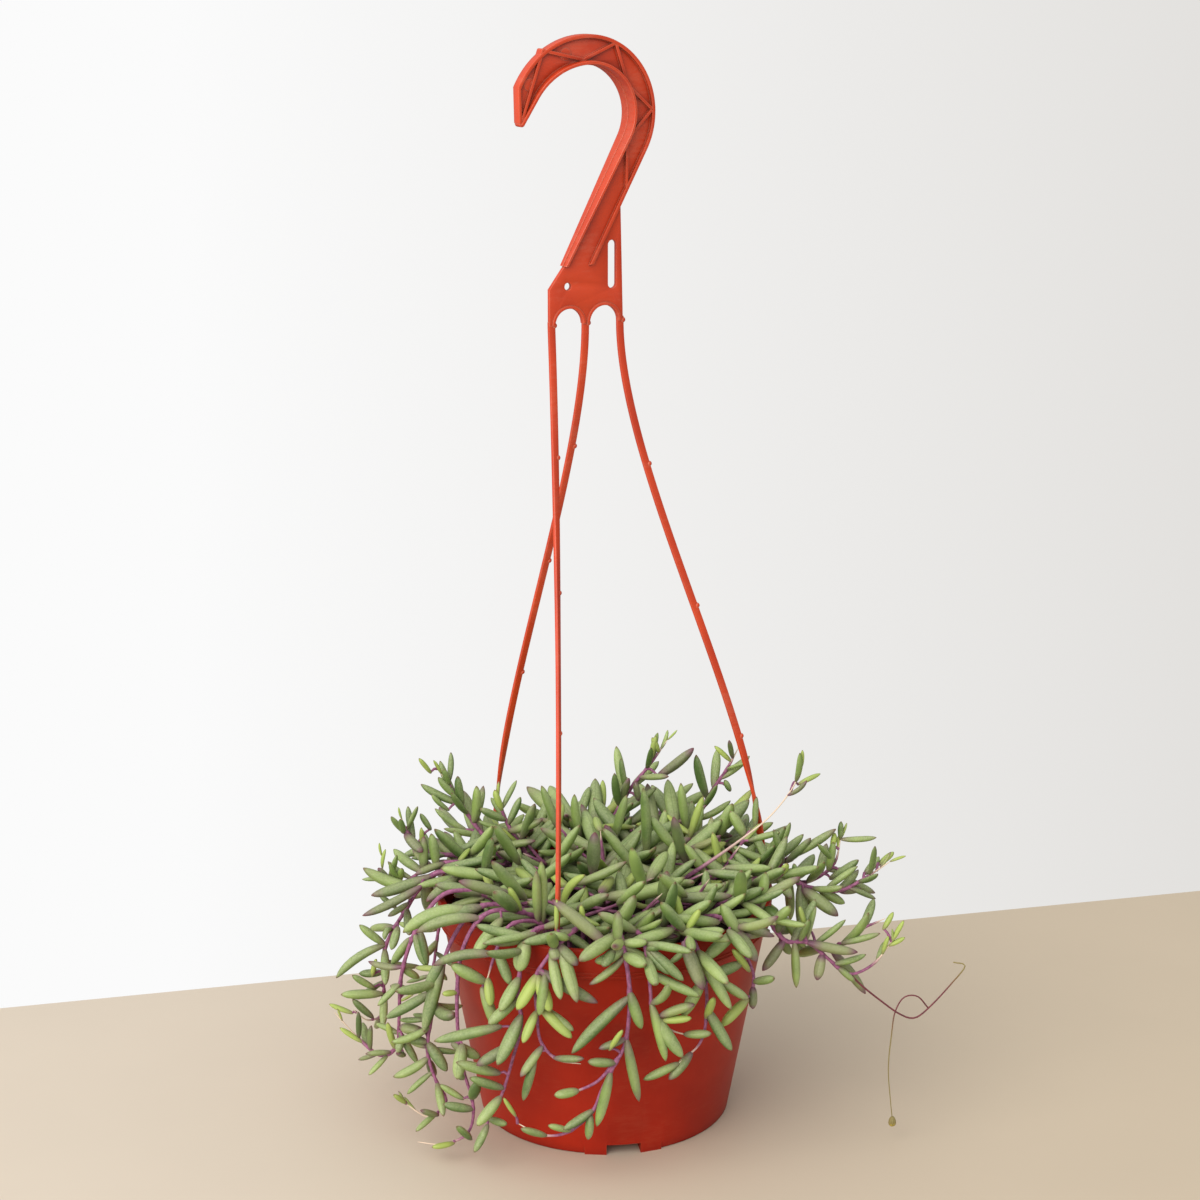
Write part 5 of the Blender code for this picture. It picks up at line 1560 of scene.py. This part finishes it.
class Crowding:
    """Remembers every placed stem and leaf as spheres and keeps new leaves clear of them."""

    def __init__(self, pot: Pot, soil: Soil, gap: float) -> None:
        """Start with an empty pot of soil.

        Args:
            pot: the pot to keep clear of.
            soil: the soil to keep clear of.
            gap: air between two leaves, less than nothing where they may press together.
        """
        self.pot = pot
        self.soil = soil
        self.gap = gap
        self.centres = np.zeros((0, 3))
        self.radii = np.zeros(0)
        self.owners = np.zeros(0, dtype=int)

    def add(self, centres: np.ndarray, radii: np.ndarray, owner: int) -> None:
        """Remember spheres that belong to one shoot."""
        self.centres = np.vstack((self.centres, centres))
        self.radii = np.concatenate((self.radii, radii))
        self.owners = np.concatenate((self.owners, np.full(len(radii), owner)))

    def clear(self, centres: np.ndarray, radii: np.ndarray, owner: int) -> bool:
        """Tell whether a leaf's spheres keep off everything but the foot of their own shoot.

        Args:
            centres: middles of the spheres, from the foot to the point.
            radii: radii of the spheres.
            owner: number of the leaf's own shoot.

        Returns:
            True where there is room.
        """
        if not all(self.clear_of_pot(centre, radius) for centre, radius in zip(centres, radii)):
            return False
        offsets = centres[:, None, :] - self.centres[None, :, :]
        distances = np.sqrt((offsets ** 2).sum(axis=2)) - self.radii[None, :] - radii[:, None]
        others = self.owners != owner
        if np.any(distances[:, others] < self.gap):
            return False
        return not np.any(distances[len(radii) // 2:][:, ~others] < self.gap)

    def clear_of_pot(self, centre: Sequence[float], radius: float) -> bool:
        """Tell whether a sphere is clear of the pot, the soil in it and the floor under it.

        Args:
            centre: middle of the sphere.
            radius: radius of the sphere.

        Returns:
            True where it is clear.
        """
        x, y, z = centre
        air = 0.3 * MM
        air_below = 1.0 * MM
        wall_slant = 1.03
        if z < radius + air_below:
            return False
        from_axis = hypot(x, y)
        reach = radius + air
        if z > self.pot.height + reach or from_axis > self.pot.rim_radius + reach:
            return True
        if from_axis + reach < self.pot.shoulder_radius - self.pot.wall:
            return z > self.soil.level(from_axis) + reach
        return (z < self.pot.band_foot - reach
            and from_axis > self.pot.wall_radius(z) + wall_slant * reach)


class Shoot:
    """A stem with its side shoots, its leaves and the short stalks that carry some of them."""

    SPACING = 2.2 * MM
    SIDES = 9
    SWELLING = 0.34
    SWELLING_REACH = 1.3 * MM

    def __init__(self, stem: Stem, paths: list[list[Vector]], owner: int, thick: float,
            thin: float) -> None:
        """Start with bare stems.

        Args:
            stem: the stem's name and how it grows.
            paths: midlines of the main stem and of its side shoots.
            owner: number of this shoot in the crowding.
            thick: radius at the root.
            thin: radius at the tips.
        """
        self.stem = stem
        self.paths = paths
        self.owner = owner
        self.thick = thick
        self.thin = thin
        self.leaves: list[Leaf] = []
        self.twigs: list[list[Vector]] = []

    def radius_at(self, branch: int, share: float) -> float:
        """Radius of the main stem, or of a side shoot, at a share of its length."""
        thick = self.thick if branch == 0 else 0.5 * (self.thick + self.thin)
        return thick + (self.thin - thick) * share

    def place(self, branch: int, share: float) -> tuple[Vector, Vector]:
        """Find a point of a stem.

        Args:
            branch: the stem's number, 0 for the main one.
            share: share of that stem's length.

        Returns:
            The point, and the stem's direction there.
        """
        path = self.paths[branch]
        place = share * (len(path) - 1)
        index = min(int(place), len(path) - 2)
        return (path[index].lerp(path[index + 1], place - index), (path[index + 1]
            - path[index]).normalized())

    def spheres(self) -> Spheres:
        """String spheres along every stem of this shoot.

        Returns:
            Their middles and their radii.
        """
        centres = []
        radii = []
        for branch, path in enumerate(self.paths):
            for index, point in enumerate(path):
                centres.append(point)
                radii.append(1.1 * self.radius_at(branch, index / (len(path) - 1)))
        return np.array(centres), np.array(radii)

    def nearest(self, point: Vector) -> tuple[float, Vector, int, int]:
        """Return the place on this shoot that is nearest to a point.

        Args:
            point: the point to come near.

        Returns:
            The distance, the nearest point, its stem's number and its number on that stem.
        """
        best = (inf, point, 0, 0)
        for branch, path in enumerate(self.paths):
            for index, candidate in enumerate(path):
                distance = (candidate - point).length
                if distance < best[0]:
                    best = (distance, candidate, branch, index)
        return best

    def add_stem(self, skin: Skin, branch: int) -> None:
        """Add a stem's tube, swollen where leaves spring from it and pale where it is new.

        Args:
            skin: gathers the shells.
            branch: the stem's number, 0 for the main one.
        """
        path = self.paths[branch]
        feet = np.array([leaf.foot for leaf in self.leaves]).reshape(-1, 3)
        radii = []
        for index, point in enumerate(path):
            radius = self.radius_at(branch, index / (len(path) - 1))
            if len(feet):
                gap = np.min(np.linalg.norm(feet - np.array(point), axis=1))
                radius *= 1.0 + self.SWELLING * exp(-(gap / self.SWELLING_REACH) ** 2)
            radii.append(radius)
        radii[-1] *= 0.5
        shares = np.linspace(0.0, 1.0, len(path))
        start = self.stem.new_from
        youth = np.clip(2.0 * (shares - start) / (1.0 - start), 0.0, 1.0)
        radii = np.array(radii) * (1.0 - 0.5 * youth)
        skin.add_rings(tube_rings(path, radii, self.SIDES), 1, shares, youth=youth)

    def build(self, finishes: Sequence[Material]) -> Object:
        """Make the shoot's mesh.

        Args:
            finishes: those of the leaves and the stems.

        Returns:
            The shoot's object.
        """
        skin = Skin()
        for leaf in self.leaves:
            leaf.add_to(skin)
        for branch in range(len(self.paths)):
            self.add_stem(skin, branch)
        for twig in self.twigs:
            radii = np.linspace(0.6 * self.thick, 0.45 * MM, len(twig))
            skin.add_rings(tube_rings(twig, radii, self.SIDES), 1)
        return skin.build(f"{self.stem.name}_leafy", finishes)


@dataclass(frozen=True)
class Crown:
    """The short shoots that fill the pot's mouth, in rings, with angles in degrees and mm.

    Each ring is a count, a radius, how much more its shoots tilt outwards, and their length.
    """

    seed: int = 41
    rings: tuple[tuple[int, float, float, float], ...] = ((1, 2.0, 0.0, 26.0),
        (6, 19.0, 20.0, 28.0), (11, 36.0, 4.0, 27.0))
    jitter: float = 6.0
    lengths: Pair = (0.9, 1.15)
    tilt: float = 25.0
    tilt_growth: float = 0.7
    tilt_jitter: float = 10.0
    swing: float = 14.0
    knee: float = 13.0
    fork_spread: float = 900.0
    fork_core: float = 20.0

    def stems(self, soil: Soil) -> Iterator[Stem]:
        """Lay out the shoots, ring by ring, each with a fork to either side.

        Args:
            soil: the soil that they stand on.

        Yields:
            One shoot's stem at a time.
        """
        rng = random.Random(self.seed)
        number = 0
        for count, radius, lean, length in self.rings:
            root = soil.level(radius * MM) / MM
            knee = root + self.knee
            spread = self.fork_spread / (radius + self.fork_core)
            for index in range(count):
                number += 1
                angle = (360.0 * (index + 0.5 * (count % 2)) / count
                    + rng.uniform(-self.jitter, self.jitter))
                reach = length * rng.uniform(*self.lengths)
                tilt = radians(self.tilt + lean + radius * self.tilt_growth
                    + rng.uniform(-self.tilt_jitter, self.tilt_jitter))
                swing = rng.uniform(-self.swing, self.swing)
                route = ((angle, radius, 0),
                    (angle + 0.4 * swing, radius + 0.45 * reach * sin(tilt), knee),
                    (angle + swing, radius + reach * sin(tilt), knee + 0.7 * reach * cos(tilt)))
                forks = tuple((route[1], (angle + fork, radius + 7.0, root + 17.0),
                    (angle + 1.5 * fork, radius + 15.0, root + 21.0 + 0.1 * fork))
                    for fork in (-spread, spread))
                yield Stem(f"crown_shoot_{number:02d}", route, forks)


@dataclass
class Plant:
    """The whole plant: crown shoots, trailing, spreading and upright stems, and their leaves.

    Leaves lean from their stem by degrees and curl by radians. A share is of a stem's length, a
    chance is out of 1, and a pair is the least and the most of what differs between leaves.
    """

    pot: Pot
    soil: Soil
    hanger: Hanger
    crown: Crown = Crown()
    leaf_seed: int = 23
    thick: float = 1.1 * MM
    thin: float = 0.5 * MM
    press: float = -0.5 * MM
    golden_angle: float = radians(137.5)
    grown_length: float = 24.0 * MM
    new_length: float = 9.0 * MM
    crown_growth: float = 1.26
    fatness: float = 0.113
    chosen_width: float = 1.14
    foot_reach: float = 4.5 * MM
    upright_start: float = 8.0 * MM
    bare_root: float = 12.0 * MM
    bare_branch: float = 0.1
    bare_young: float = 0.85
    mound_front: float = 107.0 * MM
    mound_back: float = 120.0 * MM
    mound_slope: float = 0.08
    blush_power: float = 5.0
    new_share: float = 0.93
    new_chance: float = 0.04
    new_shrink: float = 0.7
    tip_from: float = 0.92
    rises: Triple = (-14.0, 62.0, 20.0)
    rim_droops: Pair = (36.0, 14.0)
    droop_from: float = 0.6
    droop_span: float = 0.35
    lengths: Pair = (0.75, 1.2)
    girths: Pair = (0.88, 1.12)
    curls: Pair = (-0.2, 0.65)
    chosen_curls: Pair = (-0.12, 0.2)
    chosen_youths: Pair = (0.75, 1.0)
    new_youths: Pair = (0.5, 1.0)
    grown_youths: Pair = (0.0, 0.3)
    mouth_heights: Pair = (-8.0 * MM, 12.0 * MM)
    mouth_margin: float = 4.0 * MM
    left_shoulder: Triple = (-38.0 * MM, -28.0 * MM, 84.0 * MM)
    hanging_top: float = 94.0 * MM
    hanging_front: float = 50.0 * MM
    hanging_bare: float = 0.6
    TURNS: ClassVar = (0.0, 0.4, -0.4, 0.8, -0.8, 1.3, -1.3, 1.9, -1.9, 2.5, 3.1)
    SHRINKS: ClassVar = (1.0, 0.87, 0.75)

    def __post_init__(self) -> None:
        """Start with the hanger in the crowding and a seeded source of small differences."""
        self.rng = random.Random(self.leaf_seed)
        self.crowding = Crowding(self.pot, self.soil, self.press)
        self.crowding.add(*self.hanger.spheres(), 0)

    def mound(self, point: Vector) -> float:
        """Height of the crown's leafy mound, which rises to the back and to the right."""
        share = ease(0.5 + point.y / (1.7 * self.pot.rim_radius))
        level = self.mound_front + (self.mound_back - self.mound_front) * share
        return level + self.mound_slope * point.x

    def points(self, route: Route) -> list[Vector]:
        """Turn a route's angles, radii and heights into points, the first one in the soil.

        Args:
            route: the route.

        Returns:
            Its points.
        """
        made = []
        for angle, radius, height in route:
            level = height * MM if height else self.soil.level(radius * MM) - 1.5 * MM
            made.append(around(angle, radius * MM, level))
        if route[0][2] == 0:
            made.insert(1, made[0] + UP * self.upright_start)
        return made

    def shoots(self) -> list[Shoot]:
        """Lay out every stem, bare.

        Returns:
            The shoots, in the order in which they grow leaves.
        """
        made = []
        for stem in (*STEMS, *self.crown.stems(self.soil)):
            paths = [smooth_route(self.points(route), Shoot.SPACING)
                for route in (stem.route, *stem.side_shoots)]
            made.append(Shoot(stem, paths, len(made) + 1, self.thick, self.thin))
        return made

    def set_chosen(self, shoots: list[Shoot]) -> None:
        """Set the leaves that have a row of their own, each on the nearest stem.

        A leaf whose foot stands off the stem gets a short stalk from it.

        Args:
            shoots: every shoot of the plant.
        """
        rng = self.rng
        for chosen, youth in ((GROWN_LEAVES, 0.0), (NEW_LEAVES, 1.0)):
            for across, height, front, direction, length, width, lean, *curl in chosen:
                foot = Vector((across, -front, height)) * MM
                turn = radians(direction)
                tip = radians(lean)
                axis = Vector((cos(turn) * cos(tip), -sin(tip), sin(turn) * cos(tip)))
                shoot = min(shoots, key=lambda item: item.nearest(foot)[0])
                distance, base, branch, index = shoot.nearest(foot)
                point = foot + axis * (length * MM)
                foot = foot.lerp(base, min(1.0, self.foot_reach / max(distance, 0.1 * MM)))
                axis = (point - foot).normalized()
                if distance > self.foot_reach:
                    middle = base.lerp(foot, 0.5) + UP * (0.12 * distance)
                    shoot.twigs.append(smooth_route([base, middle, foot + axis * 0.5 * MM],
                        Shoot.SPACING))
                bend = UP - axis * axis.z
                if bend.length < 0.35:
                    bend = RIGHT - axis * axis.x
                leaf = Leaf(foot, axis, bend.normalized(),
                    radians(sum(curl)) + rng.uniform(*self.chosen_curls), (point - foot).length,
                    self.chosen_width * width * MM / 2.0,
                    rng.uniform(0.0, 1.0), youth * rng.uniform(*self.chosen_youths),
                    (1.0 - youth) * rng.random() ** self.blush_power)
                self.crowding.add(*leaf.spheres(), shoot.owner)
                shoot.leaves.append(leaf)

    def fill(self, shoot: Shoot) -> None:
        """Set leaves in a spiral up every stem of a shoot, where there is room for them.

        Args:
            shoot: the shoot to fill.
        """
        pitch = Growth.CROWN.value[0] * MM
        turn = self.rng.uniform(0.0, 2.0 * pi)
        for branch, path in enumerate(shoot.paths):
            length = lengths_along(path)[-1]
            bare = self.bare_branch if branch else self.bare_root / length
            if shoot.stem.new_from < 0.5:
                bare = self.bare_young
            count = max(3, round(length * (1.0 - bare) / pitch))
            every = round(shoot.stem.growth.value[0] * MM / pitch)
            for index in range(count):
                turn += self.golden_angle
                share = bare + (1.0 - bare) * index / (count - 1)
                if index % every == 0 or self.over_pot(shoot.place(branch, share)[0]):
                    self.try_leaf(shoot, branch, share, turn)

    def over_pot(self, foot: Vector) -> bool:
        """Tell whether a foot stands low over the pot's mouth, where the leaves lie densely."""
        low, high = self.mouth_heights
        return (self.pot.height + low < foot.z < self.pot.height + high
            and hypot(foot.x, foot.y) < self.pot.rim_radius + self.mouth_margin)

    def try_leaf(self, shoot: Shoot, branch: int, share: float, turn: float) -> None:
        """Set one leaf at a share of a stem's length, turned or shortened until it has room.

        Args:
            shoot: the shoot that it grows from.
            branch: the stem's number, 0 for the main one.
            share: share of that stem's length.
            turn: angle round the stem in radians.
        """
        rng = self.rng
        foot, ahead = shoot.place(branch, share)
        side = ahead.orthogonal().normalized()
        across = ahead.cross(side)
        if self.already_dressed(foot):
            return
        wanted = self.grown_length + (self.new_length - self.grown_length) * share ** 2.0
        if shoot.stem.growth is Growth.CROWN:
            wanted = self.crown_growth * self.grown_length
        wanted *= rng.uniform(*self.lengths)
        fatness = self.fatness * rng.uniform(*self.girths)
        _, low, high = shoot.stem.growth.value
        lean = radians(rng.uniform(low, high) if share < self.tip_from else 0.5 * low)
        curl = rng.uniform(*self.curls)
        tone = rng.uniform(0.0, 1.0)
        is_new = share > self.new_share or rng.random() < self.new_chance
        if is_new:
            wanted *= self.new_shrink
        youth = rng.uniform(*self.new_youths) if is_new else rng.uniform(*self.grown_youths) ** 2
        blush = rng.random() ** self.blush_power
        lies = shoot.stem.growth is Growth.CROWN or self.over_pot(foot)
        outer = hypot(foot.x, foot.y) / self.pot.rim_radius
        out = ease((outer - self.droop_from) / self.droop_span)
        lowest, highest, usual = self.rises
        droop, usual_droop = self.rim_droops
        rise = radians(rng.triangular(lowest - droop * out, highest, usual - usual_droop * out))
        for shrink, extra in product(self.SHRINKS, self.TURNS):
            angle = turn + extra
            outward = side * cos(angle) + across * sin(angle)
            axis = ahead * cos(lean) + outward * sin(lean)
            axis = (axis + UP * 0.1).normalized()
            if lies:
                axis = around(degrees(angle), cos(rise), sin(rise))
            bend = UP - axis * axis.z
            if bend.length < 0.2:
                bend = axis.orthogonal()
            length = wanted * shrink
            leaf = Leaf(foot, axis, bend.normalized(), curl, length, length * fatness, tone,
                youth, blush)
            centres, radii = leaf.spheres()
            if lies and centres[-1][2] > self.mound(Vector(centres[-1])):
                continue
            if self.crowding.clear(centres, radii, shoot.owner):
                self.crowding.add(centres, radii, shoot.owner)
                shoot.leaves.append(leaf)
                return

    def already_dressed(self, foot: Vector) -> bool:
        """Tell whether a foot is left bare because leaves with rows of their own stand there."""
        right, back, bottom = self.left_shoulder
        if foot.x < right and foot.y < back and foot.z > bottom:
            return True
        if foot.z > self.hanging_top or foot.y > 0.0:
            return False
        return foot.y < -self.hanging_front or self.rng.random() < self.hanging_bare

    def build(self, finishes: Sequence[Material]) -> list[Object]:
        """Grow every shoot and make its piece.

        Args:
            finishes: those of the leaves and the stems.

        Returns:
            The shoots' objects.
        """
        shoots = self.shoots()
        for shoot in shoots:
            self.crowding.add(*shoot.spheres(), shoot.owner)
        self.set_chosen(shoots)
        pieces = []
        for shoot in shoots:
            self.fill(shoot)
            pieces.append(hand_over(shoot.build(finishes), shoot.stem.name))
            LOG.info("%s: %d leaves", pieces[-1].name, len(shoot.leaves))
        return pieces


@dataclass
class FlowerStalk:
    """The wiry flower stalk, its drooping branch and the closed, fading flower head."""

    plant: Plant
    route: Route = ((69.1, 106.6, 72.9), (70, 111, 68), (71, 118, 62), (72, 126, 56), (73, 132, 54),
        (74, 138, 59), (75, 146, 69), (75, 151, 77), (76, 146, 77))
    branch: Route = ((74, 137, 58), (72.6, 133, 64), (71.4, 128, 64), (70.4, 125, 58),
        (70, 124, 48), (70.3, 123, 33), (71, 124, 18), (71, 125, 10))
    radius: float = 0.44 * MM
    dry_from: Pair = (0.72, 0.3)
    head_radius: float = 1.8 * MM
    head_length: float = 5.0 * MM
    bract_count: int = 8
    bract_curl: float = 0.6
    bract_radius: float = 0.55 * MM

    def head(self, tip: Vector, skin: Skin) -> None:
        """Add the flower head: an olive cup of bracts round a faded yellow tuft.

        Args:
            tip: the end of the branch that it hangs from.
            skin: gathers the shells.
        """
        top = tip + UP * (0.2 * self.head_length)
        middle = top - UP * (0.6 * self.head_length)
        skin.add_rings(egg_rings(middle, RIGHT, UP, 0.85 * self.head_radius,
            0.26 * self.head_length), 1)
        for index in range(self.bract_count):
            turn = facing(360.0 * index / self.bract_count)
            outward = (turn @ RIGHT).normalized()
            foot = top + outward * (0.2 * self.head_radius)
            axis = (outward * 0.6 - UP).normalized()
            bend = (-outward - axis * axis.dot(-outward)).normalized()
            bract = Leaf(foot, axis, bend, self.bract_curl, 0.75 * self.head_length,
                self.bract_radius, youth=1.0)
            bract.add_to(skin)

    def build(self, stalk: Material, tuft: Material) -> Object:
        """Make the stalk, its branch and the head as one piece.

        Args:
            stalk: the finish of the stalk and the bracts.
            tuft: the finish of the flower in them.

        Returns:
            The stalk's object.
        """
        skin = Skin()
        for route, thick, dry_from in zip((self.route, self.branch),
                (self.radius, 0.7 * self.radius), self.dry_from):
            path = smooth_route(self.plant.points(route), 1.5 * MM)
            radii = np.linspace(thick, 0.6 * thick, len(path))
            dry = np.clip(6.0 * (np.linspace(0.0, 1.0, len(path)) - dry_from), 0.0, 1.0)
            skin.add_rings(tube_rings(path, radii, 10), youth=dry)
        self.head(path[-1], skin)
        item = skin.build("flower_stalk_and_head", (stalk, tuft))
        return hand_over(item, "flower_stalk")


# ---- Setting ----

@dataclass
class Setting:
    """The table top that the pot stands on, the soft lamp, the white room and the camera."""

    table_left: str = "#D2C7B8"
    table_right: str = "#C9BBA6"
    room_left: str = "#FBFBFB"
    room_right: str = "#E2E0DD"
    table_back: tuple[Pair, Pair] = ((-0.133, 0.130), (0.151, 0.201))
    table_reach: float = 0.6
    table_thickness: float = 0.024
    camera_place: Triple = (-0.0020, -1.0004, 0.4891)
    camera_tilt: float = radians(74.943)
    lens: float = 76.689
    sensor: float = 36.0
    room_light: float = 1.12
    room_dark: float = 0.2
    bright_side: Triple = (-0.4, -0.5, 0.77)
    lamp_place: Triple = (-0.9, -1.25, 1.15)
    lamp_size: float = 1.7
    lamp_energy: float = 26.0
    lamp_colour: str = "#FFF8EE"
    lamp_aim: float = 0.12

    def table_material(self) -> Material:
        """Make the smooth matt laminate, with painted light: paler and pinkish to the left, tan to
        the right.

        Returns:
            The new material.
        """
        made, add, place = new_material("matt_laminate_table")
        split = add("SeparateXYZ", links={0: place})
        # Painted light: the colour runs from paler on the left to darker on the right.
        share = add("MapRange", {"From Min": -0.25, "From Max": 0.25,
            "interpolation_type": "SMOOTHSTEP"}, {"Value": split.outputs["X"]})
        body = add("MixRGB", {"Color1": self.table_left, "Color2": self.table_right},
            {"Fac": share})
        cloud = add("TexNoise", {"Scale": per_metre(120.0), "Detail": 4.0}, {"Vector": place})
        cloud_share = add("MapRange", {"To Min": 0.96, "To Max": 1.04}, {"Value": cloud})
        colour = add("HueSaturation", {}, {"Value": cloud_share, "Color": body})
        shader = add("BsdfPrincipled", {"Roughness": 0.6, "IOR": 1.45}, {"Base Color": colour})
        return closed(made, shader)

    def table(self) -> Object:
        """Make the table top, whose back edge runs straight and slightly across.

        Returns:
            The table's object.
        """
        first, second = (Vector((*point, 0.0)) for point in self.table_back)
        along = (second - first).normalized()
        forward = Vector((along.y, -along.x, 0.0))
        middle = (first + second) / 2.0
        size = 2.0 * self.table_reach
        place = (Matrix.Translation(middle + forward * self.table_reach
            - UP * (self.table_thickness / 2.0)) @ Matrix.Rotation(atan2(along.y, along.x), 4, "Z"))
        bm = box((size, size, self.table_thickness), place)
        bmesh.ops.bevel(bm, geom=list(bm.edges), offset=2.0 * MM, segments=3, affect="EDGES")
        mesh = mesh_from(bm, "table_top")
        mesh.materials.append(self.table_material())
        item = link_smooth("table_top", mesh)
        return item

    def room_world(self) -> None:
        """Light the scene from a room that is brightest above and to the left.

        The camera sees it instead as a near-white wall with painted light, brighter to the left and
        darker to the right.
        """
        world = bpy.data.worlds.new("white_room")
        world.use_nodes = True
        world.node_tree.nodes.clear()
        add = partial(add_node, world)
        rays = add("LightPath")
        seen = add("Math", {"operation": "MAXIMUM"}, {0: rays.outputs["Is Camera Ray"],
            1: rays.outputs["Is Transmission Ray"]})
        sight = add("TexCoord").outputs["Generated"]
        side = add("VectorMath", {"operation": "DOT_PRODUCT", 1: self.bright_side}, {0: sight})
        strength = add("MapRange", {"From Min": -0.6, "From Max": 1.0,
            "To Min": self.room_dark, "To Max": self.room_light}, {"Value": side.outputs["Value"]})
        light = add("Background", {"Color": "#FFFDFA"}, {"Strength": strength})
        # Painted light on the wall: brighter to the left and darker to the right.
        split = add("SeparateXYZ", links={0: sight})
        share = add("MapRange", {"From Min": -0.16, "From Max": 0.24},
            {"Value": split.outputs["X"]})
        shade = add("MixRGB", {"Color1": self.room_left, "Color2": self.room_right}, {"Fac": share})
        wall = add("Background", {"Strength": 1.0}, {"Color": shade})
        mixed = add("MixShader", {}, {0: seen, 1: light, 2: wall})
        add("OutputWorld", links={"Surface": mixed})
        bpy.context.scene.world = world

    def window_light(self) -> None:
        """Add the one lamp, square and soft, that shines at the middle of the plant."""
        data = bpy.data.lights.new("window_light", "AREA")
        data.size = self.lamp_size
        data.energy = self.lamp_energy
        data.color = linear(self.lamp_colour)[:3]
        item = link("window_light", data)
        item.location = self.lamp_place
        aim = UP * self.lamp_aim - item.location
        item.rotation_euler = aim.to_track_quat("-Z", "Y").to_euler()

    def build(self) -> None:
        """Set the table, the room, the lamp and the camera."""
        self.table()
        self.room_world()
        self.window_light()
        data = bpy.data.cameras.new("camera")
        data.lens = self.lens
        data.sensor_width = self.sensor
        camera = link("camera", data)
        camera.location = self.camera_place
        camera.rotation_euler = (self.camera_tilt, 0.0, 0.0)
        bpy.context.scene.camera = camera
        bpy.context.scene.view_settings.view_transform = "Standard"


def main() -> None:
    """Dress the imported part: pot, soil, hanger, plant and flower stalk, then the setting."""
    logging.basicConfig(level=logging.INFO, format="%(name)s: %(message)s")
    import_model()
    pot = Pot()
    soil = Soil()
    hanger = Hanger(pot)
    plant = Plant(pot, soil, hanger)
    red = MouldedPlastic("red_polypropylene", "#AE250C", "#981C07", "#B4583C",
        scuff_amount=0.14, gleam=0.25)
    LOG.info("built %s", pot.build(red).name)
    LOG.info("built %s", soil.build(pot, DampPeat()).name)
    orange_red = MouldedPlastic("orange_red_polypropylene", "#D3461F", "#BE3818", "#D8846C",
        roughness=0.3, scuff_amount=0.16, corner=0.75, rub_and_edge_highlight=0.5)
    LOG.info("built %s", hanger.build(orange_red).name)
    stem_skin = StemSkin().material()
    leaf_skin = LeafSkin().material()
    LOG.info("built %d leafy shoots", len(plant.build((leaf_skin, stem_skin))))
    stalk = FlowerStalk(plant)
    wiry = StemSkin("wiry_stalk_skin", "#7A3A44", "#5C2A34", "#8C8050", streak_mm=1.0).material()
    faded = StemSkin("faded_flower", "#B5A046", "#7E7436", "#C9B95A", streak_mm=0.8).material()
    LOG.info("built %s", stalk.build(wiry, faded).name)
    Setting().build()


if __name__ == "__main__":
    main()
